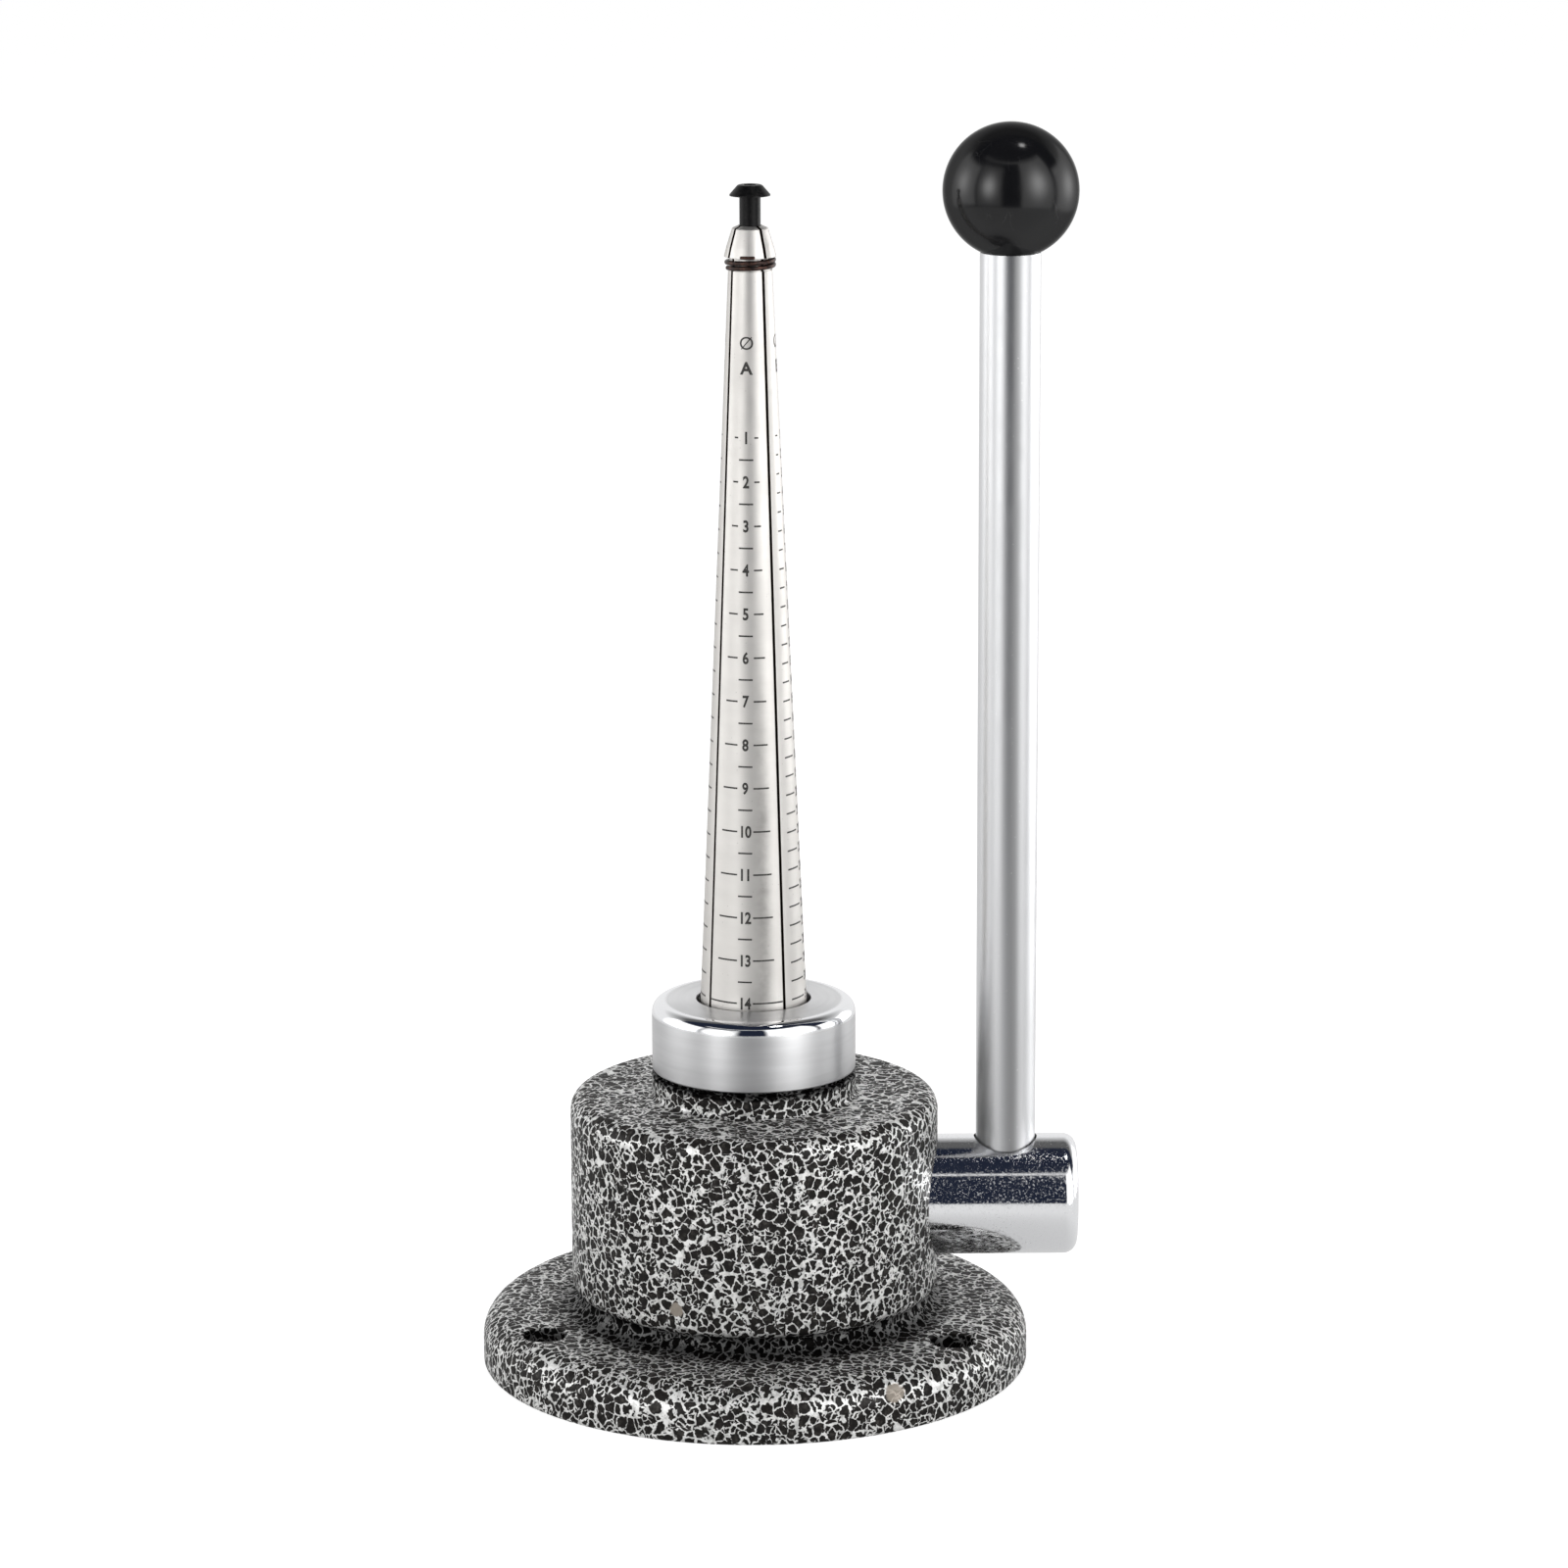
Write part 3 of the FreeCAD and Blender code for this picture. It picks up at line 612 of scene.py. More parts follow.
# Plain machined metal for what is inside and below
def machined(name, colour, roughness):
    look = SimpleNamespace(**machinedLook)
    material, shader, place = startMaterial(name, colour, 1.0, roughness)
    radius, around, along = aboutAxis(place)
    marks = useGroup(place.tree, cuttingMarks, Along=radius + along, Around=around, Pitch=look.pitch)
    wear = useGroup(place.tree, handling, Size=look.wearSize)
    # Smears from handling darken the colour to this share
    dull = tuple(look.dull * c for c in colour)
    less, more = look.marks
    connect(
        shader, Base_Color=blendColours(wear["Smears"] * look.smears, colour, dull),
        Roughness=roughness - less + marks["Marks"] * more, Normal=bumped(marks["Marks"], 0.01, 0.5))
    return material


finishes = {
    "hammertone": hammerPaint(),
    "aluminium": turnedAluminium(),
    "jaw_steel": groundSteel(),
    "chrome": chromePlate(),
    "black_ball": blackKnob(),
    "black_oxide": mottledFinish("blackOxide"),
    "ring_wire": mottledFinish("brownedWire"),
    "bronze": machined("bearingBronze", (0.62, 0.40, 0.20), 0.34),
    "plain_steel": machined("plainSteel", (0.50, 0.50, 0.51), 0.36),
}
filler = mottledFinish("scaleFiller")
rodChrome = groundChrome()
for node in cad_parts.values():
    for part in node.material_slots:
        part.material = finishes[part.material.name]
print("finishes made:", len(finishes) + 2)

# Mesh helpers

welded = 0.001 * mm
slight = 0.0005 * mm


def faceOut(bm):
    bmesh.ops.recalc_face_normals(bm, faces=bm.faces)


# Rounds corners or edges by an offset in millimetres
def rounded(bm, geom, offset, segments, affect="EDGES"):
    bmesh.ops.bevel(
        bm, geom=geom, offset=offset * mm, offset_type="OFFSET", affect=affect, segments=segments,
        profile=0.5, material=-1, clamp_overlap=affect == "EDGES")


# Edges through (radius, height) or (radius, height, rounding) corners, in millimetres, in the XZ plane
def drawOutline(bm, corners, closed, segments):
    verts = [bm.verts.new((corner[0] * mm, 0, corner[1] * mm)) for corner in corners]
    ends = verts[1:] + verts[:1] if closed else verts[1:]
    for start, end in zip(verts, ends):
        bm.edges.new((start, end))
    offsets = []
    for i, corner in enumerate(corners):
        if len(corner) == 3:
            back = verts[i - 1].co - verts[i].co
            ahead = verts[(i + 1) % len(verts)].co - verts[i].co
            offsets.append((verts[i], corner[2] / math.tan(back.angle(ahead) / 2)))
    for vert, offset in offsets:
        rounded(bm, [vert], offset, segments, "VERTICES")


# Sweeps all that is drawn so far about the upright axis
def sweep(bm, steps):
    bmesh.ops.spin(
        bm, geom=bm.verts[:] + bm.edges[:], cent=(0, 0, 0), axis=(0, 0, 1), dvec=(0, 0, 0), angle=math.tau,
        steps=steps, use_merge=True, use_duplicate=False)


# A profile is closed, unless it starts and ends on the axis
def turnedMesh(corners, steps=160, segments=8):
    bm = bmesh.new()
    onAxis = corners[0][0] == corners[-1][0] == 0
    drawOutline(bm, corners, not onAxis, segments)
    sweep(bm, steps)
    bmesh.ops.remove_doubles(bm, verts=bm.verts, dist=welded)
    bmesh.ops.dissolve_degenerate(bm, edges=bm.edges, dist=slight)
    faceOut(bm)
    return bm


def cylinder(radius, low, high, steps=96):
    return turnedMesh([(0, low), (radius, low), (radius, high), (0, high)], steps)


def bare(name, bm):
    mesh = bpy.data.meshes.new(name)
    bm.to_mesh(mesh)
    bm.free()
    thing = bpy.data.objects.new(name, mesh)
    bpy.context.scene.collection.objects.link(thing)
    return thing


# Joins a shape to a mesh, or cuts it away, and gives the result back as a bmesh
def combine(body, tool, operation):
    body = bare("body", body)
    tool = bare("tool", tool)
    modifier = body.modifiers.new("combine", "BOOLEAN")
    modifier.operation = operation
    modifier.solver = "EXACT"
    modifier.use_self = False
    modifier.object = tool
    graph = bpy.context.evaluated_depsgraph_get()
    result = bmesh.new()
    result.from_mesh(body.evaluated_get(graph).data)
    for thing in (body, tool):
        mesh = thing.data
        bpy.data.objects.remove(thing)
        bpy.data.meshes.remove(mesh)
    return result


def merge(parts):
    whole = bmesh.new()
    for part in parts:
        mesh = bpy.data.meshes.new("part")
        part.to_mesh(mesh)
        part.free()
        whole.from_mesh(mesh)
        bpy.data.meshes.remove(mesh)
    return whole


# A UV map with U round the upright axis and V up it, for the grain of turned metal
def wrapAround(mesh):
    layer = mesh.uv_layers.new(name="around")
    for face in mesh.polygons:
        turns = [math.atan2(mesh.vertices[v].co.x, -mesh.vertices[v].co.y) / math.tau for v in face.vertices]
        split = max(turns) - min(turns) > 0.5
        for loop, vert, turn in zip(face.loop_indices, face.vertices, turns):
            spot = mesh.vertices[vert].co
            layer.data[loop].uv = (turn + (split and turn < 0), spot.z * 20 + spot.xy.length * 20)


def finishPiece(name, bm, body, slot, replaced=(), crease=32, wrapped=False, material=None):
    bmesh.ops.remove_doubles(bm, verts=bm.verts, dist=slight)
    piece = bare(name, bm)
    piece.data.materials.append(material or finishes[slot])
    piece.data.polygons.foreach_set("material_index", [0] * len(piece.data.polygons))
    piece.data.shade_smooth()
    piece.data.set_sharp_from_angle(angle=math.radians(crease))
    if wrapped:
        wrapAround(piece.data)
    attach(piece, body)
    if replaced:
        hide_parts(*replaced)
    return piece


def moved(bm, offset=(0, 0, 0), turn=None):
    if turn:
        bmesh.ops.rotate(bm, verts=bm.verts, cent=(0, 0, 0), matrix=turn)
    bmesh.ops.translate(bm, verts=bm.verts, vec=Vector(offset) * mm)
    return bm


layAlongX = Matrix.Rotation(math.radians(90), 3, "Y")


def onShaftAxis(bm):
    return moved(bm, (0, 0, shaftHeight), layAlongX)


# Casting


def castingCutters():
    size = SimpleNamespace(**casting)
    outer, mouth = size.rightBore
    start = size.rightBoss[1] - 1
    right = turnedMesh(
        [(0, start), (outer[0], start), outer, (mouth[0], outer[1]), mouth, (0, mouth[1])], steps=128)
    left = cylinder(size.leftBore[0], 1 - size.leftBoss[1], -size.leftBore[1])
    cutters = [onShaftAxis(right), onShaftAxis(left)]
    hole, lip, top = size.boltHole, size.boltLip, size.flangeThickness
    for i in range(3):
        azimuth = size.firstBolt + 120 * i
        bolt = turnedMesh([
            (0, -1), (hole, -1), (hole, top - lip), (hole + 0.3 * lip, top - 0.3 * lip),
            (hole + lip, top), (hole + lip, top + 1), (0, top + 1),
        ], steps=64)
        cutters.append(moved(bolt, atAzimuth(size.boltCircle, azimuth)))
        screw = cylinder(size.screwHole, size.cavityFloor - 1, size.screwDepth, steps=24)
        cutters.append(moved(screw, atAzimuth(size.screwCircle, azimuth + 60)))
    return merge(cutters)


def buildCasting():
    size = SimpleNamespace(**casting)
    body = turnedMesh([
        (size.plateRecess, 0), (size.flangeRadius, 0, size.footEdge),
        (size.flangeRadius, size.flangeThickness, size.flangeEdge),
        (size.neck, size.flangeThickness, size.cove), (size.neck, size.barrelFoot),
        (size.barrelRadius, size.barrelFoot, size.barrelFootEdge),
        (size.barrelRadius, size.barrelTop, size.barrelEdge),
        (size.bossRadius, size.barrelTop, size.bossCove),
        (size.bossRadius, size.bossTop, size.bossEdge), (size.seat, size.bossTop),
        (size.seat, collarLow.z), (size.spigot, collarLow.z), (size.spigot, castingTop),
        (size.guideHole, castingTop), (size.guideHole, size.cavityTop),
        (size.cavity, size.cavityTop, size.cavityCorner), (size.cavity, size.cavityFloor),
        (size.plateRecess, size.cavityFloor),
    ], steps=192, segments=10)
    radius, start = size.rightBoss
    right = cylinder(radius, start, size.bossEnd)
    radius, start = size.leftBoss
    left = cylinder(radius, -start, -size.bossEnd)
    body = combine(body, merge([onShaftAxis(right), onShaftAxis(left)]), "UNION")
    body = combine(body, castingCutters(), "DIFFERENCE")
    finishPiece("paintedCasting", body, "stand", "hammertone", ["base_casting"])


buildCasting()
print("casting built")

# Collar

collar = {"wall": 3.75, "hole": 12.5, "plate": 5.5, "slope": 0.7, "rim": 2.5, "foot": 0.4, "lip": 0.4}


def buildCollar():
    size = SimpleNamespace(**collar)
    outer, bottom, top = collarHigh.x, collarLow.z, collarHigh.z
    bore = outer - size.wall
    body = turnedMesh([
        (bore, bottom), (outer, bottom, size.foot), (outer, top - size.slope, size.rim),
        (size.hole, top, size.lip), (size.hole, top - size.plate), (bore, top - size.plate),
    ], steps=192, segments=10)
    finishPiece("clampCollar", body, "stand", "aluminium", ["collar"], wrapped=True)


buildCollar()

# Mandrel

mandrel = {
    "baseRadius": 11.567, "taper": 0.04299, "firstAzimuth": -9.8, "saw": 0.5, "sawEdge": 0.07,
    "footRadius": 16.5, "footPlay": (0.05, 0.1), "footGroove": (1.0, 0.75),
    "grooveDrop": 6.65, "grooveHeight": 2.8, "grooveDepth": 0.3,
    "flare": 1.0, "shoulder": (0.52, 2.1), "tipInset": 1.77, "tipDome": (0.6, 0.4), "tipBore": (2.45, 5.65),
    "wedges": 4, "wedgeLength": 14.0, "firstWedge": 4.0, "lastWedgeDrop": 25.85, "wedgeShare": 0.66,
    "travel": 0.6, "stroke": 5.5, "relief": 2.3, "reliefPlay": 1.0, "play": 0.05,
}
jawNames = ("front", "right", "back", "left")


def mandrelRadius(height):
    return mandrel["baseRadius"] - mandrel["taper"] * (height - collarHigh.z)


# The bore over the draw bar's cones, from the foot up
def boreCorners(bottom):
    size = SimpleNamespace(**mandrel)
    lowest = collarHigh.z + size.firstWedge
    step = (mandrelTip - size.lastWedgeDrop - lowest) / (size.wedges - 1)
    slope = size.travel * math.cos(math.radians(45)) / size.stroke
    corners = []
    for i in range(size.wedges):
        low = lowest + step * i
        large = size.wedgeShare * mandrelRadius(low + size.wedgeLength) + size.play
        small = large - slope * size.wedgeLength
        if i == 0:
            corners.append((small, bottom))
        else:
            wide, top = corners[-1]
            corners += [(wide, top + size.reliefPlay), (small, top + size.reliefPlay + size.relief)]
        corners += [(small, low), (large, low + size.wedgeLength)]
    corners.append((corners[-1][0], mandrelTip - size.tipBore[1]))
    return corners


def wholeMandrel():
    size = SimpleNamespace(**mandrel)
    bottom = castingTop + size.footPlay[0]
    top = collarHigh.z - collar["plate"] - size.footPlay[1]
    middle = (bottom + top) / 2
    depth, half = size.footGroove
    grooveTop = mandrelTip - size.grooveDrop
    grooveBottom = grooveTop - size.grooveHeight
    floor = mandrelRadius(grooveBottom) - size.grooveDepth
    flare = mandrelRadius(grooveTop) + size.flare
    foot = size.footRadius
    return turnedMesh([
        (foot, bottom), (foot, middle - half), (foot - depth, middle - half), (foot - depth, middle + half),
        (foot, middle + half), (foot, top), (size.baseRadius, top, 0.3), (size.baseRadius, collarHigh.z),
        (mandrelRadius(grooveBottom), grooveBottom), (floor, grooveBottom), (floor, grooveTop),
        (flare, grooveTop, 0.12), (flare - size.shoulder[0], grooveTop + size.shoulder[1], 0.5),
        (flare - size.tipInset, mandrelTip - size.tipDome[0], size.tipDome[1]),
        (size.tipBore[0], mandrelTip, 0.1), (size.tipBore[0], mandrelTip - size.tipBore[1]),
    ] + boreCorners(bottom)[::-1], steps=256, segments=5)


# Saws one quarter out of the turned mandrel and softens the sawn edges
def buildJaw(side, azimuth):
    bm = wholeMandrel()
    normals = [atAzimuth(1, azimuth + turn) for turn in (-135, 135)]
    for normal in normals:
        cut = bmesh.ops.bisect_plane(
            bm, geom=bm.verts[:] + bm.edges[:] + bm.faces[:], dist=0.0002 * mm,
            plane_co=-normal * mandrel["saw"] / 2 * mm, plane_no=normal, clear_outer=True)
        rim = [part for part in cut["geom_cut"] if isinstance(part, bmesh.types.BMEdge)]
        bmesh.ops.edgeloop_fill(bm, edges=rim)
    faceOut(bm)
    sawn = [face for face in bm.faces if max(face.normal.dot(normal) for normal in normals) > 0.99999
            and len(face.verts) > 20]
    edges = {edge for face in sawn for edge in face.edges}
    rounded(bm, list(edges), mandrel["sawEdge"], 2)
    faceOut(bm)
    finishPiece(
        "mandrelJaw_" + side, bm, side + "_jaw", "jaw_steel", ["jaw_" + side], crease=24, wrapped=True)


jawAzimuths = {side: mandrel["firstAzimuth"] + 90 * i for i, side in enumerate(jawNames)}
for side, azimuth in jawAzimuths.items():
    buildJaw(side, azimuth)
print("collar and jaws built")

# Scales on the jaws

scaleMarks = {
    "top": 206.3, "foot": 83.4, "lineWidth": 0.36, "sunk": 0.06, "proud": 0.012,
    "innerEnd": 1.75, "outerEnd": 2.6, "outerGrowth": 0.325, "halfMark": 3.1, "bold": 0.032,
    "digitHeight": 2.65, "digitSqueeze": 0.78, "letterHeight": 2.75, "letterStep": 5.3, "firstLetter": 226.4,
    "longest": 0.45, "lastTurn": 43, "smaller": 0.82,
}
# For each jaw: spacing in millimetres, first number, marks between the numbers, letter over the scale
scales = {
    "front": (9.453, 1, True, "A"), "right": (4.097, 1, False, "B"),
    "back": (3.724, 40, False, "C"), "left": (5.12, 1, False, "D"),
}


def flatText(words, height, squeeze=1.0):
    curve = bpy.data.curves.new("words", "FONT")
    curve.body = words
    curve.align_x = "CENTER"
    curve.align_y = "CENTER"
    curve.size = height * mm
    curve.offset = scaleMarks["bold"] * height * mm if words.isascii() else 0
    thing = bpy.data.objects.new("words", curve)
    mesh = bpy.data.meshes.new_from_object(thing)
    bm = bmesh.new()
    bm.from_mesh(mesh)
    bpy.data.objects.remove(thing)
    bpy.data.meshes.remove(mesh)
    low = min(v.co.y for v in bm.verts)
    high = max(v.co.y for v in bm.verts)
    bmesh.ops.translate(bm, verts=bm.verts, vec=(0, -(low + high) / 2, 0))
    grow = height * mm / (high - low)
    bmesh.ops.scale(bm, verts=bm.verts, vec=(squeeze * grow, grow, 1))
    return bm


def flatLine(left, right, width):
    bm = bmesh.new()
    bmesh.ops.create_grid(bm, x_segments=1, y_segments=1, size=0.5)
    bmesh.ops.scale(bm, verts=bm.verts, vec=((right - left) * mm, width * mm, 1))
    return moved(bm, ((left + right) / 2, 0, 0))


# Thickens flat marks and wraps them round the cone at one height
def wrapMarks(bm, azimuth, height):
    bmesh.ops.triangulate(bm, faces=bm.faces)
    longest = scaleMarks["longest"] * mm
    for _ in range(3):
        long = [edge for edge in bm.edges if abs(edge.verts[0].co.x - edge.verts[1].co.x) > longest]
        if not long:
            break
        bmesh.ops.subdivide_edges(bm, edges=long, cuts=2)
    bmesh.ops.triangulate(bm, faces=bm.faces)
    faceOut(bm)
    if sum(face.normal.z * face.calc_area() for face in bm.faces) < 0:
        bmesh.ops.reverse_faces(bm, faces=bm.faces)
    top = bm.faces[:]
    for vert in bm.verts:
        vert.co.z = scaleMarks["proud"] * mm
    sides = bmesh.ops.extrude_face_region(bm, geom=top, use_keep_orig=True)["geom"]
    sunk = [part for part in sides if isinstance(part, bmesh.types.BMVert)]
    bmesh.ops.translate(bm, verts=sunk, vec=(0, 0, -(scaleMarks["sunk"] + scaleMarks["proud"]) * mm))
    faceOut(bm)
    for vert in bm.verts:
        level = height + vert.co.y / mm
        radius = mandrelRadius(level) + vert.co.z / mm
        turn = azimuth + math.degrees(vert.co.x / mm / mandrelRadius(level))
        vert.co = atAzimuth(radius, turn, level) * mm
    return bm


def buildScale(side, azimuth):
    size = SimpleNamespace(**scaleMarks)
    step, number, halves, letter = scales[side]
    marks = []
    for i, sign in enumerate(("Ø", letter)):
        marks.append(wrapMarks(
            flatText(sign, size.letterHeight), azimuth, size.firstLetter - size.letterStep * i))
    count = round((size.top - size.foot) / step)
    for i in range(count + 1):
        height = size.top - step * i
        room = size.outerEnd + size.outerGrowth * (size.top - height) / scales["front"][0]
        if i == count and halves:
            room = mandrelRadius(height) * math.radians(size.lastTurn)
        tall = size.digitHeight if halves else size.smaller * size.digitHeight
        flat = [flatText(str(number + i), tall, size.digitSqueeze)]
        flat.append(flatLine(-room, -size.innerEnd, size.lineWidth))
        flat.append(flatLine(size.innerEnd, room, size.lineWidth))
        marks += [wrapMarks(bm, azimuth, height) for bm in flat]
        if halves and i < count:
            line = flatLine(-size.halfMark / 2, size.halfMark / 2, size.lineWidth)
            marks.append(wrapMarks(line, azimuth, height - step / 2))
    finishPiece("scale_" + side, merge(marks), side + "_jaw", "jaw_steel", crease=40, material=filler)


for side, azimuth in jawAzimuths.items():
    buildScale(side, azimuth)
print("scales engraved")

# Wires round the jaws and the return spring

wires = {
    "ringWire": 0.5, "ringPlay": 0.075, "ringPitch": 1.08, "ringQuarters": 6, "ringStart": -75.0,
    "hookWire": 0.36, "hookRadius": 5.42, "hookHeight": 244.5, "hookStart": -23.0, "hookTurn": 33.0,
    "footWire": 0.6, "footStart": 90.0, "footTurn": 354.0, "overlap": 5.0,
    "springWire": 1.1, "springRadius": 9.0, "springEndPitch": 2.8, "springTurns": 5,
}


# Winds a wire from one azimuth through stretches of (degrees, climb), with rounded ends
def woundWire(wire, radius, start, height, stretches, perTurn=96, sides=14):
    bm = bmesh.new()
    bmesh.ops.create_circle(bm, segments=sides, radius=wire * mm, cap_ends=False)
    moved(bm, (radius, 0, height), Matrix.Rotation(math.radians(90), 3, "X"))
    moved(bm, turn=Matrix.Rotation(math.radians(start - 90), 3, "Z"))
    last = bm.edges[:]
    for angle, climb in stretches:
        steps = max(2, round(perTurn * angle / 360))
        swept = bmesh.ops.spin(
            bm, geom=last, cent=(0, 0, 0), axis=(0, 0, 1), dvec=(0, 0, climb / steps * mm),
            angle=math.radians(angle), steps=steps, use_merge=False, use_duplicate=False)
        last = [part for part in swept["geom_last"] if isinstance(part, bmesh.types.BMEdge)]
    rims = [edge for edge in bm.edges if edge.is_boundary]
    caps = bmesh.ops.holes_fill(bm, edges=rims, sides=0)["faces"]
    rims = list({edge for face in caps for edge in face.edges})
    rounded(bm, rims, 0.5 * wire, 3)
    faceOut(bm)
    return bm


# Splits a wire where it crosses from one jaw to the next, so that each stretch opens with its jaw
def wireOnJaws(name, node, wire, radius, start, height, turn, pitch):
    lengths = {side: [] for side in jawNames}
    done = 0.0
    while done < turn - 0.01:
        azimuth = start + done
        quarter = math.floor((azimuth - mandrel["firstAzimuth"] + 45) / 90)
        edge = mandrel["firstAzimuth"] + 45 + 90 * quarter
        length = min(edge - azimuth, turn - done)
        before = 0 if done == 0 else wires["overlap"]
        after = 0 if done + length > turn - 0.01 else wires["overlap"]
        lengths[jawNames[quarter % 4]].append((
            azimuth - before, height + pitch * (done - before) / 360, length + before + after))
        done += length
    for side, parts in lengths.items():
        coils = [
            woundWire(wire, radius, first, low, [(angle, pitch * angle / 360)])
            for first, low, angle in parts
        ]
        if name == "jawWire" and side == "front":
            coils.append(woundWire(
                wires["hookWire"], wires["hookRadius"], wires["hookStart"], wires["hookHeight"],
                [(wires["hookTurn"], 0)]))
        finishPiece(name + "_" + side, merge(coils), side + "_jaw", "ring_wire", [node], crease=50)


def buildWires():
    size = SimpleNamespace(**wires)
    grooveBottom = mandrelTip - mandrel["grooveDrop"] - mandrel["grooveHeight"]
    floor = mandrelRadius(grooveBottom) - mandrel["grooveDepth"]
    lift = size.ringWire + size.ringPlay
    wireOnJaws(
        "jawWire", "jaw_ring", size.ringWire, floor + lift, size.ringStart, grooveBottom + lift,
        90 * size.ringQuarters, size.ringPitch)
    footRadius = (footHigh.x - footLow.x) / 2 - size.footWire
    wireOnJaws(
        "footWire", "foot_ring", size.footWire, footRadius, size.footStart,
        (footLow.z + footHigh.z) / 2, size.footTurn, 0)
    wire = size.springWire
    end = (360, size.springEndPitch)
    middle = (360 * (size.springTurns - 2), springHigh.z - springLow.z - 2 * wire - 2 * end[1])
    coil = woundWire(
        wire, size.springRadius, 0, springLow.z + wire, [end, middle, end], perTurn=64)
    spring = finishPiece("liftSpring", coil, "stand", "plain_steel", ["return_spring"], crease=50)
    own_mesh(spring)


buildWires()
print("wires wound")

# Screw over the tip

topScrew = {
    "thread": 1.95, "threadLength": 8.4, "shank": 2.25, "head": 4.33, "headHeight": 2.3, "rim": 0.25,
    "flat": 2.55, "edges": (0.1, 0.8), "socket": 2.5, "socketDepth": 1.3,
}


def buildScrew():
    size = SimpleNamespace(**topScrew)
    top = screwHigh.z
    under = top - size.headHeight
    threadEnd = screwLow.z + size.threadLength
    body = turnedMesh([
        (0, screwLow.z), (size.thread, screwLow.z, 0.3), (size.thread, threadEnd),
        (size.shank, threadEnd), (size.shank, under, 0.15),
        (size.head, under), (size.head, under + size.rim, size.edges[0]),
        (size.flat, top, size.edges[1]), (0, top),
    ], steps=96)
    socket = bmesh.new()
    across = size.socket / math.sqrt(3) * mm
    bmesh.ops.create_cone(
        socket, cap_ends=True, segments=6, radius1=across, radius2=across, depth=2 * size.socketDepth * mm)
    body = combine(body, moved(socket, (0, 0, top)), "DIFFERENCE")
    finishPiece("tipScrew", body, "bar", "black_oxide", ["bar_screw"])


buildScrew()

# Lever

lever = {
    "shaftEdge": 3.0, "recess": 6.9, "rodShoulder": 46.2, "rodThread": 6.0, "rodThreadLength": 17.2,
    "rodEdges": (0.3, 0.25), "threadEdge": 0.8, "play": 0.05, "threadRoom": 0.5,
    "ballRadius": 14.5, "ballThread": 5.0, "ballLip": 0.5, "ballSteps": 64,
    "eccentric": 6.5, "eccentricPlace": (-2.75, 39.55), "eccentricHalf": 9.0, "waist": 9.0,
    "journalStart": 17.0, "clipStart": 22.15, "clipEnd": 23.55, "clipDepth": 0.8,
    "spigot": 6.0, "shoulder": 8.0, "shoulderStart": 23.8, "chamfer": 0.8,
}


def buildShaft():
    size = SimpleNamespace(**lever)
    half = size.eccentricHalf
    groove = shaftRadius - size.clipDepth
    right = turnedMesh([
        (0, half), (size.waist, half), (size.waist, size.journalStart),
        (shaftRadius, size.journalStart, size.chamfer), (shaftRadius, size.clipStart),
        (groove, size.clipStart), (groove, size.clipEnd), (shaftRadius, size.clipEnd),
        (shaftRadius, shaftHigh.x, size.shaftEdge), (0, shaftHigh.x),
    ], segments=12)
    left = turnedMesh([
        (0, shaftLow.x), (size.spigot, shaftLow.x, size.chamfer), (size.spigot, -size.shoulderStart),
        (size.shoulder, -size.shoulderStart), (size.shoulder, -half), (0, -half),
    ], steps=96)
    eccentric = moved(cylinder(size.eccentric, -half, half), (0, *size.eccentricPlace), layAlongX)
    body = combine(merge([onShaftAxis(right), onShaftAxis(left)]), eccentric, "UNION")
    thread = size.rodThread + size.play
    floor = size.rodShoulder - size.rodThreadLength - size.threadRoom
    recess = turnedMesh([
        (0, floor), (thread, floor), (thread, size.rodShoulder), (size.recess, size.rodShoulder),
        (size.recess, shaftHigh.z + 2), (0, shaftHigh.z + 2),
    ], steps=96)
    body = combine(body, moved(recess, (rodPlace, 0, 0)), "DIFFERENCE")
    finishPiece("crossShaft", body, "lever", "chrome", ["lever_shaft"])


def buildRod():
    size = SimpleNamespace(**lever)
    top = rodHigh.z
    neck = ballLow.z
    low, high = size.rodEdges
    body = turnedMesh([
        (0, rodLow.z), (size.rodThread, rodLow.z, size.threadEdge), (size.rodThread, size.rodShoulder),
        (rodRadius, size.rodShoulder, low), (rodRadius, neck, high), (size.ballThread, neck),
        (size.ballThread, top, size.threadEdge), (0, top),
    ], steps=128)
    piece = finishPiece("leverRod", body, "lever", "chrome", ["lever_rod"], wrapped=True, material=rodChrome)
    piece.data.transform(Matrix.Translation((rodPlace * mm, 0, 0)))


# The knob is turned from an arc, with a flat on the rod's shoulder
def buildBall():
    size = SimpleNamespace(**lever)
    radius = size.ballRadius
    thread = size.ballThread + size.play
    depth = rodHigh.z + 1
    centre = ballHigh.z - radius
    start = math.asin((ballLow.z - centre) / radius)
    corners = [(0, depth), (thread, depth), (thread, ballLow.z)]
    for i in range(size.ballSteps + 1):
        angle = start + (math.pi / 2 - start) * i / size.ballSteps
        corners.append((radius * math.cos(angle), centre + radius * math.sin(angle)))
    bm = bmesh.new()
    drawOutline(bm, corners, False, 0)
    bm.verts.ensure_lookup_table()
    rounded(bm, [bm.verts[3]], size.ballLip, 4, "VERTICES")
    sweep(bm, 128)
    bmesh.ops.remove_doubles(bm, verts=bm.verts, dist=welded)
    faceOut(bm)
    finishPiece("knob", moved(bm, (rodPlace, 0, 0)), "lever", "black_ball", ["lever_ball"], crease=40)


buildShaft()
buildRod()
buildBall()
print("lever built")

# Floor, light and camera

